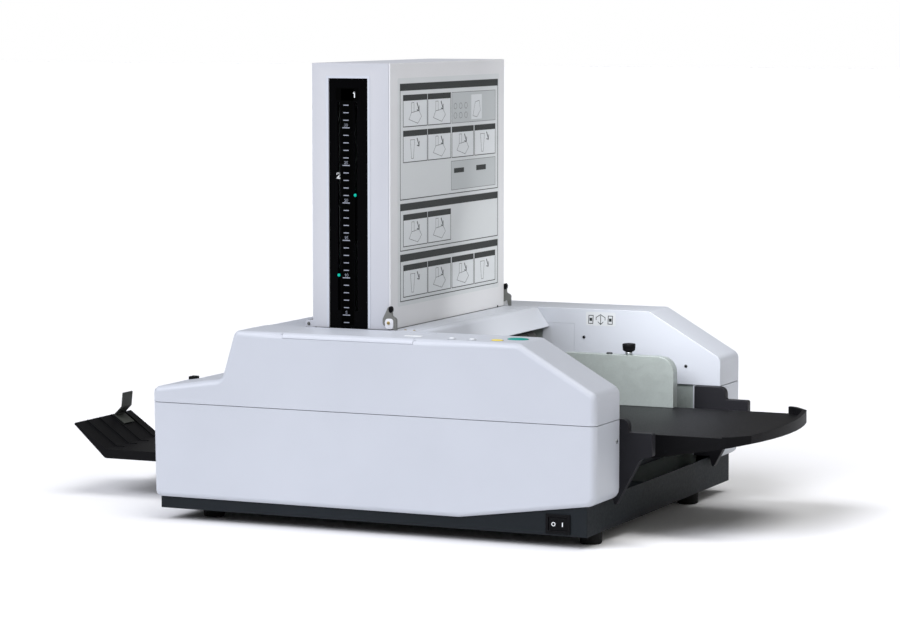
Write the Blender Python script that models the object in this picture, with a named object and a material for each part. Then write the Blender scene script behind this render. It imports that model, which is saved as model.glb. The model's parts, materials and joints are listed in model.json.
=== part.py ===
"""Desk paper folding machine with a fold tower, a lifting feed table and a folding delivery tray.

Machine coordinates: X = 0 at the delivery end of the covers and grows to the feed side, Y = 0 at the
front covers' outer face, Z = 0 at the seam between upper and lower covers. An empty then sets the
whole machine with its box's bottom centre on the world's origin.
"""
import math

import bmesh
import bpy
from mathutils import Matrix, Vector

MM = 0.001

# Overall sizes
COVER_LENGTH = 640 * MM
MACHINE_DEPTH = 560 * MM
HOUSING_DEPTH = 85 * MM
TOP_HEIGHT = 101 * MM
COVER_DROP = 129 * MM
BASE_DROP = 144 * MM
FOOT_HEIGHT = 16 * MM
TRAY_REACH = 216 * MM
TABLE_REACH = 806 * MM
TOWER_TOP = 454 * MM

# Shared walls and clearances
FIT = 0.3 * MM
RUNNING_FIT = 0.5 * MM
OVERRUN = 20 * MM
PLASTIC = 3 * MM
SHEET = 2 * MM
PLATE = 3 * MM
SOFT_EDGE = 1 * MM
ARC_STEPS = 4
EDGE_STEPS = 3
ROUND_SIDES = 16
SHARP_DEGREES = 35

INNER_FRONT = HOUSING_DEPTH
INNER_REAR = MACHINE_DEPTH - HOUSING_DEPTH
MID_DEPTH = MACHINE_DEPTH / 2
SEAM = 0.8 * MM

# Upper cover outline
NOSE_HEIGHT = 39 * MM
NOSE_ROUND = 12 * MM
SLOPE_START = 533 * MM
SLOPE_ROUND = 15 * MM
RISER_TOP = 124 * MM
RISER_FOOT = 104 * MM
RISER_ROUND = 9 * MM
LEDGE_HIGH = 35 * MM
LEDGE_LOW = 19.6 * MM
LEDGE_ROUND = 12 * MM
COVER_EDGE = 8 * MM

# Lower cover outline
UNDER_KINK = 449 * MM
UNDER_RISE = 26 * MM
UNDER_TAPER = 2 * MM
UNDER_ROUND = 9 * MM
UNDER_END_ROUND = 15 * MM

# Lift-up panel lid on the front cover
LID_START = 196 * MM
LID_END = 386 * MM
LID_DEPTH = 80 * MM
LID_THICK = 7.2 * MM
LID_BED = 4.2 * MM
LID_MARGIN = 3 * MM

# Base and feet
BASE_START = 8.7 * MM
BASE_END = 627 * MM
BASE_SETBACK = 6 * MM
BASE_RIM = 44 * MM
FOOT_RADIUS = 14.5 * MM
FOOT_TAPER = 2 * MM
FOOT_FROM_FRONT = 60 * MM
FOOT_FROM_REAR = 134 * MM
FOOT_FROM_DELIVERY = 61 * MM
FOOT_FROM_FEED = 611 * MM
FOOT_SINK = 1.2 * MM

# Side frame plates and ties
FRAME_START = 36 * MM
FRAME_END = 604 * MM
FRAME_TOP = 82 * MM
FRAME_FOOT = 10 * MM
TIE_RADIUS = 6 * MM
TIE_SPOTS = ((110 * MM, -110 * MM), (590 * MM, -85 * MM))

# Tower
TOWER_START = 196.5 * MM
TOWER_END = 312.5 * MM
TOWER_GAP = 4 * MM
TOWER_ROUND = 3 * MM
WINDOW_START = 222 * MM
WINDOW_END = 279.5 * MM
WINDOW_TOP = 434 * MM
SLOT_WIDTH = 4 * MM
SLOT_1 = 261 * MM
SLOT_2 = 236 * MM
READING_1 = 278.9 * MM
READING_2 = 171.6 * MM
TRAVEL_TOP = 398.3 * MM
TRAVEL_FOOT = 128.3 * MM
HINGE_X = 191 * MM
HINGE_Z = 105 * MM

# Fold rollers and their gears
ROLLER_COUNT = 5
ROLLER_PITCH = 26 * MM
ROLLER_LAST = 190 * MM
ROLLER_Z = 50 * MM
NIP = 0.4 * MM
JOURNAL_RADIUS = 5 * MM
GEAR_TEETH = 20
GEAR_WIDTH = 10 * MM
ROOT_SHARE, TIP_SHARE = 1.2, 0.95
FLANK_SHARES = (0.33, 0.11)
HALF_TOOTH_SHARE = 0.5
GEAR_SETBACK = 8 * MM

# Fold plates and stoppers
FOLD_GAP = 6 * MM
FOLD_SHEET = 1.5 * MM
FOLD_MOUTH = 70 * MM
FOLD_SETBACK = 26 * MM
STOPPER_DROP = 49 * MM
STOPPER_HEIGHT = 12 * MM
GUIDE_ROD = 3 * MM
GUIDE_ROD_SETBACK = 13 * MM

# Bridge plate and hood
BRIDGE_END = 348.6 * MM
HOOD_EDGE_X = 383 * MM
HOOD_EDGE_Z = 73 * MM
HOOD_SKIN = 2 * MM

# Feed roller and pick-up
FEED_X = 364 * MM
FEED_Z = 52 * MM
FEED_RADIUS = 23 * MM
FEED_SHAFT = 5 * MM
PICK_X = 408 * MM
PICK_Z = 47 * MM
PICK_RADIUS = 13 * MM

# Feed table and its guides
TABLE_START = 400 * MM
TABLE_TOP = 25.5 * MM
TABLE_FRONT = 140 * MM
TABLE_SKIN = 3 * MM
TABLE_NOSE = 768 * MM

# Feed-side brackets
BRACKET_REACH = 685 * MM
BRACKET_TOP = 17 * MM
BRACKET_THICK = 12 * MM
BRACKET_FOOT = 115 * MM
BRACKET_KNEE = 52 * MM
BRACKET_ROOT = 606 * MM
BRACKET_TAB = 652 * MM

# Side guides of the feed table
GUIDE_FRONT = 150 * MM
GUIDE_START = 432 * MM
GUIDE_END = 595 * MM
GUIDE_TOP = 45 * MM
GUIDE_SHEET = 2 * MM
GUIDE_FLANGE = 16 * MM
GUIDE_NOSE = 22 * MM
KNOB_X = 526 * MM
KNOB_RADIUS = 8.8 * MM
KNOB_CAP = 7 * MM
KNOB_STEM = 3 * MM
KNOB_RISE = 5 * MM

# Delivery side
DELIVERY_HINGE_X = 183 * MM
TRAY_FLOOR = 94 * MM
TRAY_SKIN = 3 * MM
TRAY_START = 6 * MM
TRAY_BEND = 166 * MM
TRAY_TOP = 61 * MM
TRAY_FRONT = 157 * MM
TRAY_WALL_WIDTH = 158 * MM
TRAY_HINGE = 6 * MM
TRAY_PIN = (2 * MM, -101 * MM)
TRAY_PIN_RADIUS = 3 * MM
TRAY_EAR = 8 * MM
STOPPER_WIDTH = 27 * MM
CHUTE_SKIN = 1.5 * MM
OUT_X = 56 * MM
OUT_Z = 48 * MM
OUT_RADIUS = 12 * MM

# Buttons and switch
BUTTON_STAND = 1.2 * MM
BUTTON_DEPTH = 2.6 * MM
BUTTONS = {
    "white_button_left": (433 * MM, 19 * MM, 5 * MM, 5 * MM),
    "white_button_right": (462 * MM, 18 * MM, 5 * MM, 5 * MM),
    "stop_button": (494 * MM, 26 * MM, 8 * MM, 6 * MM),
    "start_button": (513 * MM, 50 * MM, 14 * MM, 11 * MM),
}
SWITCH_START = 570.5 * MM
SWITCH_END = 604.3 * MM
SWITCH_LOW = 141 * MM
SWITCH_HIGH = 116 * MM
SWITCH_FRAME = 3 * MM
SWITCH_STAND = 2 * MM
SWITCH_BODY = 18 * MM
SWITCH_LEAN_DEGREES = 8
INLET_WIDTH = 30 * MM
INLET_HEIGHT = 22 * MM

X_AXIS, Y_AXIS, Z_AXIS = "X", "Y", "Z"
ORIGIN = (0.0, 0.0, 0.0)


def finish(name, colour, roughness, metallic=0.0):
    """A Principled BSDF material with one colour."""
    material = bpy.data.materials.new(name)
    material.use_nodes = True
    shader = material.node_tree.nodes["Principled BSDF"]
    shader.inputs["Base Color"].default_value = (*colour, 1.0)
    shader.inputs["Roughness"].default_value = roughness
    shader.inputs["Metallic"].default_value = metallic
    return material


def clear_scene():
    """Empties the file of objects, so that each run starts alike."""
    for obj in list(bpy.data.objects):
        bpy.data.objects.remove(obj, do_unlink=True)


def offset_outline(corners, inset):
    """Corners (u, v, radius), anticlockwise, with every side moved inwards by inset."""
    moved = []
    for index, (u, v, radius) in enumerate(corners):
        before = Vector(corners[index - 1][:2])
        here = Vector((u, v))
        after = Vector(corners[(index + 1) % len(corners)][:2])
        into, out = (here - before).normalized(), (after - here).normalized()
        turn = into.x * out.y - into.y * out.x
        sideways = Vector((-into.y, into.x)) + Vector((-out.y, out.x))
        place = here + sideways * (inset / (1 + into.dot(out)))
        if radius:
            radius = max(radius - math.copysign(inset, turn), FIT)
        moved.append((place.x, place.y, radius))
    return moved


def outline_points(corners, inset=0.0, steps=ARC_STEPS):
    """The corner list as points, with an arc at each corner that has a radius."""
    corners = offset_outline(corners, inset) if inset else corners
    points = []
    for index, (u, v, radius) in enumerate(corners):
        here = Vector((u, v))
        if not radius:
            points.append(here)
            continue
        into = (here - Vector(corners[index - 1][:2])).normalized()
        out = (Vector(corners[(index + 1) % len(corners)][:2]) - here).normalized()
        turn = math.atan2(into.x * out.y - into.y * out.x, into.dot(out))
        start = here - into * (radius * math.tan(abs(turn) / 2))
        side = math.copysign(1.0, turn)
        centre = start + Vector((-into.y, into.x)) * (side * radius)
        arm = start - centre
        for step in range(steps + 1):
            angle = turn * step / steps
            points.append(centre + Matrix.Rotation(angle, 2) @ arm)
    return points


def along(axis, u, v, w):
    """A point whose outline place is (u, v) and whose place along axis is w."""
    return {X_AXIS: (w, u, v), Y_AXIS: (u, w, v), Z_AXIS: (u, v, w)}[axis]


def loft(rings):
    """One closed mesh through rings of equal length, capped at both ends."""
    work = bmesh.new()
    loops = [[work.verts.new(point) for point in ring] for ring in rings]
    for low, high in zip(loops, loops[1:]):
        for index in range(len(low)):
            follow = (index + 1) % len(low)
            work.faces.new((low[index], low[follow], high[follow], high[index]))
    work.faces.new(loops[0][::-1])
    work.faces.new(loops[-1])
    bmesh.ops.recalc_face_normals(work, faces=work.faces)
    mesh = bpy.data.meshes.new("solid")
    work.to_mesh(mesh)
    work.free()
    return mesh


def prism(corners, axis, start, end, start_round=0.0, end_round=0.0, steps=ARC_STEPS):
    """The outline drawn out along axis, with moulded edges of the given radii at its two ends."""
    levels = []
    rounds = EDGE_STEPS if start_round else 0
    for step in range(rounds):
        angle = math.pi / 2 * step / rounds
        levels.append((start_round * (1 - math.sin(angle)), start + start_round * (1 - math.cos(angle))))
    levels.append((0.0, start + start_round))
    levels.append((0.0, end - end_round))
    rounds = EDGE_STEPS if end_round else 0
    for step in range(rounds - 1, -1, -1):
        angle = math.pi / 2 * step / rounds
        levels.append((end_round * (1 - math.sin(angle)), end - end_round * (1 - math.cos(angle))))
    return loft([
        [along(axis, *point, place) for point in outline_points(corners, inset, steps)]
        for inset, place in levels
    ])


def block(low, high, edge=0.0):
    """A box between two corners, whose upright edges may be rounded."""
    corners = [(low[0], low[1], edge), (high[0], low[1], edge),
               (high[0], high[1], edge), (low[0], high[1], edge)]
    return prism(corners, Z_AXIS, low[2], high[2])


def turned(profile, axis, centre, sides=ROUND_SIDES):
    """A solid of revolution: profile is (radius, place along axis), closed on the axis at both ends."""
    work = bmesh.new()
    rings = []
    for radius, place in profile:
        ring = []
        for side in range(sides):
            angle = 2 * math.pi * side / sides
            spot = along(axis, radius * math.cos(angle), radius * math.sin(angle), place)
            ring.append(work.verts.new(Vector(spot) + Vector(centre)))
        rings.append(ring)
    for low, high in zip(rings, rings[1:]):
        for side in range(sides):
            follow = (side + 1) % sides
            work.faces.new((low[side], low[follow], high[follow], high[side]))
    work.faces.new(rings[0][::-1])
    work.faces.new(rings[-1])
    bmesh.ops.recalc_face_normals(work, faces=work.faces)
    mesh = bpy.data.meshes.new("turned")
    work.to_mesh(mesh)
    work.free()
    return mesh


def rod(axis, centre, radius, start, end, sides=ROUND_SIDES, chamfer=0.0):
    """A round bar along axis through centre, from start to end measured in machine coordinates."""
    base = {X_AXIS: (0.0, centre[0], centre[1]), Y_AXIS: (centre[0], 0.0, centre[1]),
            Z_AXIS: (centre[0], centre[1], 0.0)}[axis]
    profile = [(radius, start), (radius, end)]
    if chamfer:
        profile = [(radius - chamfer, start), (radius, start + chamfer),
                   (radius, end - chamfer), (radius - chamfer, end)]
    return turned(profile, axis, base, sides)


def mirrored(mesh):
    """The same mesh on the machine's other side."""
    copy = mesh.copy()
    flip = Matrix.Translation((0.0, MACHINE_DEPTH, 0.0)) @ Matrix.Scale(-1.0, 4, Vector((0.0, 1.0, 0.0)))
    copy.transform(flip)
    copy.flip_normals()
    return copy


def cut(*meshes):
    """Solids to be taken away from a piece."""
    return [("DIFFERENCE", mesh) for mesh in meshes]


def join(*meshes):
    """Solids to be welded to a piece."""
    return [("UNION", mesh) for mesh in meshes]


def piece(name, material, mesh, changes=(), pivot=ORIGIN, rear=False):
    """One named object: origin at pivot, mesh in machine coordinates, changed by hidden helper solids."""
    if rear:
        mesh = mirrored(mesh)
        changes = [(kind, mirrored(helper)) for kind, helper in changes]
    shift = Matrix.Translation(-Vector(pivot))
    mesh.transform(shift)
    obj = bpy.data.objects.new(name, mesh)
    obj.location = pivot
    obj.parent = MACHINE
    mesh.materials.append(material)
    bpy.context.scene.collection.objects.link(obj)
    for index, (kind, helper_mesh) in enumerate(changes):
        helper_mesh.transform(shift)
        helper = bpy.data.objects.new(f"{name}_helper_{index}", helper_mesh)
        helper.parent = obj
        helper.hide_render = True
        helper.display_type = "WIRE"
        bpy.context.scene.collection.objects.link(helper)
        change = obj.modifiers.new(f"{kind.lower()}_{index}", "BOOLEAN")
        change.operation = kind
        change.solver = "EXACT"
        change.object = helper
    mesh.shade_smooth()
    mesh.set_sharp_from_angle(angle=math.radians(SHARP_DEGREES))
    return obj


clear_scene()
MACHINE = bpy.data.objects.new("machine", None)
MACHINE.location = ((TRAY_REACH - TABLE_REACH) / 2, -MID_DEPTH, BASE_DROP + FOOT_HEIGHT)
bpy.context.scene.collection.objects.link(MACHINE)

COVER_PLASTIC = finish("cover_plastic", (0.62, 0.65, 0.71), 0.38)
LID_PLASTIC = finish("lid_plastic", (0.64, 0.67, 0.72), 0.4)
TOWER_STEEL = finish("painted_steel", (0.57, 0.58, 0.58), 0.42)
BASE_STEEL = finish("dark_painted_steel", (0.03, 0.036, 0.042), 0.5)
BLACK_PLASTIC = finish("black_plastic", (0.012, 0.012, 0.013), 0.45)
GREY_PLASTIC = finish("grey_plastic", (0.1, 0.105, 0.1), 0.5)
ZINC_STEEL = finish("zinc_plated_steel", (0.45, 0.5, 0.47), 0.35, 1.0)
BRIGHT_STEEL = finish("bright_steel", (0.6, 0.6, 0.6), 0.25, 1.0)
BLACK_RUBBER = finish("black_rubber", (0.02, 0.02, 0.021), 0.8)
WINDOW_GLOSS = finish("window_gloss", (0.008, 0.008, 0.009), 0.12)
TEAL_PLASTIC = finish("teal_plastic", (0.0, 0.35, 0.26), 0.35)
YELLOW_PLASTIC = finish("yellow_plastic", (0.79, 0.57, 0.045), 0.35)
WHITE_PLASTIC = finish("white_plastic", (0.85, 0.86, 0.87), 0.35)


def oval(centre, half_x, half_y, sides=24):
    """Outline points of an ellipse in plan."""
    return [(centre[0] + half_x * math.cos(2 * math.pi * i / sides),
             centre[1] + half_y * math.sin(2 * math.pi * i / sides), 0.0) for i in range(sides)]


# Side covers
UPPER_OUTLINE = [
    (0.0, -OVERRUN, 0.0),
    (COVER_LENGTH, -OVERRUN, 0.0),
    (COVER_LENGTH, NOSE_HEIGHT, NOSE_ROUND),
    (SLOPE_START, TOP_HEIGHT, SLOPE_ROUND),
    (RISER_TOP, TOP_HEIGHT, RISER_ROUND),
    (RISER_FOOT, LEDGE_HIGH, LEDGE_ROUND),
    (0.0, LEDGE_LOW, RISER_ROUND),
]
LOWER_OUTLINE = [
    (UNDER_TAPER, -COVER_DROP, UNDER_ROUND),
    (UNDER_KINK, -COVER_DROP, 2 * OVERRUN),
    (COVER_LENGTH, -COVER_DROP + UNDER_RISE, UNDER_END_ROUND),
    (COVER_LENGTH, OVERRUN, 0.0),
    (0.0, OVERRUN, 0.0),
]
BASE_TOP = -BASE_DROP + BASE_RIM
INNER_WINDOW_START = RISER_TOP + PLASTIC
INNER_WINDOW_END = TABLE_START + OVERRUN
LOWER_WINDOW = (OVERRUN, COVER_LENGTH - 2 * OVERRUN)


def across_cover(outline):
    """The hollow of a side cover, one wall inside its outline and its two faces."""
    return prism(offset_outline(outline, PLASTIC), Y_AXIS, PLASTIC, HOUSING_DEPTH - PLASTIC,
                 COVER_EDGE - PLASTIC)


def upper_cover_cuts():
    """Seam, hollow and the opening that the shafts pass in the inner wall."""
    seam = block((-OVERRUN, -OVERRUN, -2 * OVERRUN), (COVER_LENGTH + OVERRUN, HOUSING_DEPTH + OVERRUN, 0.0))
    window = block((INNER_WINDOW_START, HOUSING_DEPTH - 2 * PLASTIC, -OVERRUN),
                   (INNER_WINDOW_END, HOUSING_DEPTH + OVERRUN, FRAME_TOP - PLASTIC))
    return cut(seam, across_cover(UPPER_OUTLINE), window)


def lower_cover_cuts():
    """Seam, hollow, the bottom opening round the base pan and the opening in the inner wall."""
    seam = block((-OVERRUN, -OVERRUN, -SEAM), (COVER_LENGTH + OVERRUN, HOUSING_DEPTH + OVERRUN, 2 * OVERRUN))
    bottom = block((BASE_START - FIT, BASE_SETBACK - FIT, -COVER_DROP - OVERRUN),
                   (BASE_END + FIT, HOUSING_DEPTH + OVERRUN, BASE_TOP + SOFT_EDGE))
    window = block((LOWER_WINDOW[0], HOUSING_DEPTH - 2 * PLASTIC, BASE_TOP),
                   (LOWER_WINDOW[1], HOUSING_DEPTH + OVERRUN, OVERRUN))
    return cut(seam, across_cover(LOWER_OUTLINE), bottom, window)


def side_covers():
    """Upper and lower covers of both sides; the front upper one takes the lid and the buttons."""
    lid_floor = TOP_HEIGHT - LID_THICK - FIT
    bed = block((LID_START - LID_MARGIN, PLASTIC / 2, lid_floor - LID_BED),
                (LID_END + LID_MARGIN, HOUSING_DEPTH - PLASTIC / 2, TOP_HEIGHT - PLASTIC / 2))
    pocket = block((LID_START, -OVERRUN, lid_floor), (LID_END, LID_DEPTH, TOP_HEIGHT + OVERRUN))
    holes = [prism(oval((x, y), half_x + FIT, half_y + FIT), Z_AXIS,
                   TOP_HEIGHT - 2 * PLASTIC, TOP_HEIGHT + OVERRUN)
             for x, y, half_x, half_y in BUTTONS.values()]
    shape = {"axis": Y_AXIS, "start": 0.0, "end": HOUSING_DEPTH, "start_round": COVER_EDGE}
    piece("front_upper_cover", COVER_PLASTIC, prism(UPPER_OUTLINE, **shape),
          upper_cover_cuts() + join(bed) + cut(pocket, *holes))
    piece("rear_upper_cover", COVER_PLASTIC, prism(UPPER_OUTLINE, **shape), upper_cover_cuts(), rear=True)
    piece("front_lower_cover", COVER_PLASTIC, prism(LOWER_OUTLINE, **shape), lower_cover_cuts())
    piece("rear_lower_cover", COVER_PLASTIC, prism(LOWER_OUTLINE, **shape), lower_cover_cuts(), rear=True)


def panel_lid():
    """The lid over the operating panel, its rear edge rounded about the hinge line."""
    roll = LID_THICK / 2
    low = TOP_HEIGHT - LID_THICK
    corners = [(0.0, low, 0.0), (LID_DEPTH - FIT, low, roll),
               (LID_DEPTH - FIT, TOP_HEIGHT, roll), (0.0, TOP_HEIGHT, LID_THICK - FIT)]
    piece("panel_lid", LID_PLASTIC, prism(corners, X_AXIS, LID_START + FIT, LID_END - FIT),
          pivot=((LID_START + LID_END) / 2, LID_DEPTH - FIT - roll, low + roll))


def controls():
    """Four domed buttons in the front cover's top."""
    finishes = [WHITE_PLASTIC, WHITE_PLASTIC, YELLOW_PLASTIC, TEAL_PLASTIC]
    dome_shares = ((1.0, 0.0), (1.0, 0.45), (0.93, 0.8), (0.75, 1.0))
    for material, (name, (x, y, half_x, half_y)) in zip(finishes, BUTTONS.items()):
        rings = [[(u, v, TOP_HEIGHT - BUTTON_DEPTH) for u, v, _ in oval((x, y), half_x, half_y)]]
        for spread, rise in dome_shares:
            rings.append([(u, v, TOP_HEIGHT + BUTTON_STAND * rise)
                          for u, v, _ in oval((x, y), half_x * spread, half_y * spread)])
        piece(name, material, loft(rings), pivot=(x, y, TOP_HEIGHT))


def base_and_feet():
    """The folded steel pan, its rubber feet and the mains inlet at the delivery end."""
    floor = -BASE_DROP + SHEET
    front, rear = BASE_SETBACK, MACHINE_DEPTH - BASE_SETBACK
    hollow = block((BASE_START + SHEET, front + SHEET, floor),
                   (BASE_END - SHEET, rear - SHEET, BASE_TOP + OVERRUN))
    step = block((BASE_START - OVERRUN, INNER_FRONT, BASE_TOP - 2 * TRAY_HINGE),
                 (BASE_START + OVERRUN, INNER_REAR, BASE_TOP + OVERRUN))
    switch_hole = block((SWITCH_START + SWITCH_FRAME - FIT, front - OVERRUN, -SWITCH_LOW + SWITCH_FRAME - FIT),
                        (SWITCH_END - SWITCH_FRAME + FIT, front + OVERRUN / 2,
                         -SWITCH_HIGH - SWITCH_FRAME + FIT))
    inlet_low = -BASE_DROP + 2 * SHEET
    inlet_mid = INNER_REAR - INLET_WIDTH
    inlet_hole = block((BASE_START - OVERRUN, inlet_mid - INLET_WIDTH / 2 - FIT, inlet_low - FIT),
                       (BASE_START + OVERRUN, inlet_mid + INLET_WIDTH / 2 + FIT,
                        inlet_low + INLET_HEIGHT + FIT))
    ears = [block((TRAY_PIN[0] - TRAY_HINGE, near, BASE_TOP - OVERRUN),
                  (BASE_START + SHEET, near + TRAY_EAR, TRAY_PIN[1] + TRAY_HINGE))
            for near in (TRAY_FRONT - TRAY_EAR - FIT, MACHINE_DEPTH - TRAY_FRONT + FIT)]
    pin_hole = rod(Y_AXIS, TRAY_PIN, TRAY_PIN_RADIUS + FIT, INNER_FRONT, INNER_REAR, 12)
    piece("base_pan", BASE_STEEL,
          block((BASE_START, front, -BASE_DROP), (BASE_END, rear, BASE_TOP), SHEET),
          cut(hollow, step, switch_hole, inlet_hole) + join(*ears) + cut(pin_hole))
    socket = block((BASE_START - OVERRUN, inlet_mid - INLET_WIDTH / 2 + PLASTIC, inlet_low + PLASTIC),
                   (BASE_START + OVERRUN / 2, inlet_mid + INLET_WIDTH / 2 - PLASTIC,
                    inlet_low + INLET_HEIGHT - PLASTIC))
    piece("power_inlet", BLACK_PLASTIC,
          block((BASE_START - SOFT_EDGE, inlet_mid - INLET_WIDTH / 2, inlet_low),
                (BASE_START + OVERRUN, inlet_mid + INLET_WIDTH / 2, inlet_low + INLET_HEIGHT)), cut(socket))
    foot_number = 0
    for x in (FOOT_FROM_DELIVERY, FOOT_FROM_FEED):
        for y in (FOOT_FROM_FRONT, MACHINE_DEPTH - FOOT_FROM_REAR):
            foot_number += 1
            profile = [(FOOT_RADIUS - FOOT_TAPER, -BASE_DROP - FOOT_HEIGHT),
                       (FOOT_RADIUS, -BASE_DROP - FOOT_HEIGHT + FOOT_SINK),
                       (FOOT_RADIUS, -BASE_DROP - FIT)]
            piece(f"foot_{foot_number}", BLACK_RUBBER, turned(profile, Z_AXIS, (x, y, 0.0)))


def power_switch():
    """The rocker in its bezel on the base pan's front wall."""
    middle = (SWITCH_START + SWITCH_END) / 2
    front = BASE_SETBACK
    axis_y = front + SWITCH_FRAME
    rim = block((SWITCH_START, front - SWITCH_STAND, -SWITCH_LOW), (SWITCH_END, front - FIT, -SWITCH_HIGH))
    body = block((SWITCH_START + SWITCH_FRAME, front - SWITCH_STAND / 2, -SWITCH_LOW + SWITCH_FRAME),
                 (SWITCH_END - SWITCH_FRAME, front + SWITCH_BODY, -SWITCH_HIGH - SWITCH_FRAME))
    well = block((SWITCH_START + SWITCH_FRAME + SOFT_EDGE, front - OVERRUN,
                  -SWITCH_LOW + SWITCH_FRAME + SOFT_EDGE),
                 (SWITCH_END - SWITCH_FRAME - SOFT_EDGE, front + SWITCH_BODY - SHEET,
                  -SWITCH_HIGH - SWITCH_FRAME - SOFT_EDGE))
    piece("switch_bezel", BLACK_PLASTIC, rim, join(body) + cut(well))
    half = (SWITCH_END - SWITCH_START) / 2 - SWITCH_FRAME - SOFT_EDGE - 2 * FIT
    lean = math.radians(SWITCH_LEAN_DEGREES)
    depth_shares = ((-1.0, -0.42), (0.0, -0.34), (1.0, -0.42), (0.3, 0.45), (-0.3, 0.45))
    corners = []
    for across, back in depth_shares:
        u, v = half * across * math.cos(lean), half * back
        corners.append((middle + u * math.cos(lean) - v * math.sin(lean),
                        axis_y + u * math.sin(lean) + v * math.cos(lean), 0.0))
    piece("power_rocker", BLACK_PLASTIC,
          prism(corners, Z_AXIS, -SWITCH_LOW + SWITCH_FRAME + SOFT_EDGE + FIT,
                -SWITCH_HIGH - SWITCH_FRAME - SOFT_EDGE - FIT),
          pivot=(middle, axis_y, -(SWITCH_LOW + SWITCH_HIGH) / 2))


# Chassis between the housings
FRAME_FRONT = HOUSING_DEPTH - PLASTIC - FIT
FRAME_SPAN = (FRAME_FRONT, MACHINE_DEPTH - FRAME_FRONT)
FRAME_OUTER = FRAME_FRONT - PLATE
ROLLER_RADIUS = (ROLLER_PITCH - NIP) / 2
ROLLER_SPAN = (HOUSING_DEPTH + PLASTIC, MACHINE_DEPTH - HOUSING_DEPTH - PLASTIC)
GEAR_START = MACHINE_DEPTH - FRAME_OUTER + GEAR_SETBACK
GEAR_END = GEAR_START + GEAR_WIDTH
PULLEY_START = GEAR_END + RUNNING_FIT
PULLEY_END = PULLEY_START + GEAR_WIDTH
GEAR_MODULE = ROLLER_PITCH / GEAR_TEETH
PINION_TEETH = 12
PINION_Z = ROLLER_Z - GEAR_MODULE * (GEAR_TEETH + PINION_TEETH) / 2
PULLEY_RADIUS = 11 * MM
BELT_THICK = 1.5 * MM
BELT_STEPS = 8
MOTOR_RADIUS = 24 * MM
MOTOR_LENGTH = 42 * MM
MOTOR_POST = 3 * MM
MOTOR_POST_DIRECTIONS = [math.radians(degrees) for degrees in (200, 270, 340)]
MOTOR_SHAFT = 3 * MM
LIFT_X = 470 * MM
LIFT_Z = -80 * MM


def roller_x(index):
    """Centre of fold roller 0 to 4, counted from the feed side."""
    return ROLLER_LAST + ROLLER_PITCH * (ROLLER_COUNT - 1 - index)


def frame_plates():
    """The two steel plates that carry every shaft, cut from one outline, and their tie bars."""
    outline = [
        (FRAME_START, -BASE_DROP + SHEET + FIT, 0.0),
        (FRAME_END, -BASE_DROP + SHEET + FIT, 0.0),
        (FRAME_END, NOSE_HEIGHT, FRAME_FOOT),
        (SLOPE_START + PLASTIC, FRAME_TOP, FRAME_FOOT),
        (INNER_WINDOW_START + PLASTIC, FRAME_TOP, FRAME_FOOT),
        (INNER_WINDOW_START + PLASTIC, FRAME_FOOT, FRAME_FOOT),
        (FRAME_START, FRAME_FOOT, FRAME_FOOT),
    ]
    shafts = [(roller_x(index), ROLLER_Z) for index in range(ROLLER_COUNT)]
    shafts += [(FEED_X, FEED_Z), (OUT_X, -OUT_Z + OUT_RADIUS + FIT), (OUT_X, -OUT_Z - OUT_RADIUS - FIT),
               (LIFT_X, LIFT_Z)]
    for name, rear in (("front_frame_plate", False), ("rear_frame_plate", True)):
        bores = [rod(Y_AXIS, place, JOURNAL_RADIUS + FIT, 0.0, HOUSING_DEPTH, 12) for place in shafts]
        piece(name, ZINC_STEEL, prism(outline, Y_AXIS, FRAME_OUTER, FRAME_FRONT), cut(*bores), rear=rear)
    for number, place in enumerate(TIE_SPOTS, 1):
        piece(f"tie_bar_{number}", ZINC_STEEL,
              rod(Y_AXIS, place, TIE_RADIUS, FRAME_SPAN[0] + FIT, FRAME_SPAN[1] - FIT, 12, SOFT_EDGE))


def toothed(teeth, centre, start, end, phase, module=GEAR_MODULE, flank_shares=FLANK_SHARES):
    """A spur gear between two Y places, phase given as a share of one tooth."""
    pitch_radius = module * teeth / 2
    root, tip = pitch_radius - ROOT_SHARE * module, pitch_radius + TIP_SHARE * module
    flanks = ((root, -flank_shares[0]), (tip, -flank_shares[1]), (tip, flank_shares[1]), (root, flank_shares[0]))
    corners = []
    for tooth in range(teeth):
        for radius, share in flanks:
            angle = 2 * math.pi * (tooth + phase + share) / teeth
            corners.append((centre[0] + radius * math.cos(angle), centre[1] + radius * math.sin(angle), 0.0))
    return prism(corners, Y_AXIS, start, end)


def pulley(centre):
    """The flat pulley of the feed drive on a shaft."""
    return rod(Y_AXIS, centre, PULLEY_RADIUS, PULLEY_START, PULLEY_END)


def fold_rollers():
    """Five fold rollers nip to nip, each with its gear outside the rear frame plate."""
    for index in range(ROLLER_COUNT):
        centre = (roller_x(index), ROLLER_Z)
        place = (centre[0], 0.0, centre[1])
        low, high = ROLLER_SPAN
        tail = PULLEY_END + SOFT_EDGE if index == 0 else GEAR_END + SOFT_EDGE
        profile = [(JOURNAL_RADIUS, FRAME_OUTER - SHEET), (JOURNAL_RADIUS, low - SOFT_EDGE),
                   (ROLLER_RADIUS - SOFT_EDGE, low - SOFT_EDGE), (ROLLER_RADIUS, low),
                   (ROLLER_RADIUS, high), (ROLLER_RADIUS - SOFT_EDGE, high + SOFT_EDGE),
                   (JOURNAL_RADIUS, high + SOFT_EDGE), (JOURNAL_RADIUS, tail)]
        wheel = toothed(GEAR_TEETH, centre, GEAR_START, GEAR_END, HALF_TOOTH_SHARE * (index % 2))
        parts = join(wheel, pulley(centre)) if index == 0 else join(wheel)
        piece(f"fold_roller_{index + 1}", BLACK_RUBBER, turned(profile, Y_AXIS, place), parts,
              pivot=(centre[0], MID_DEPTH, centre[1]))


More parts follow.
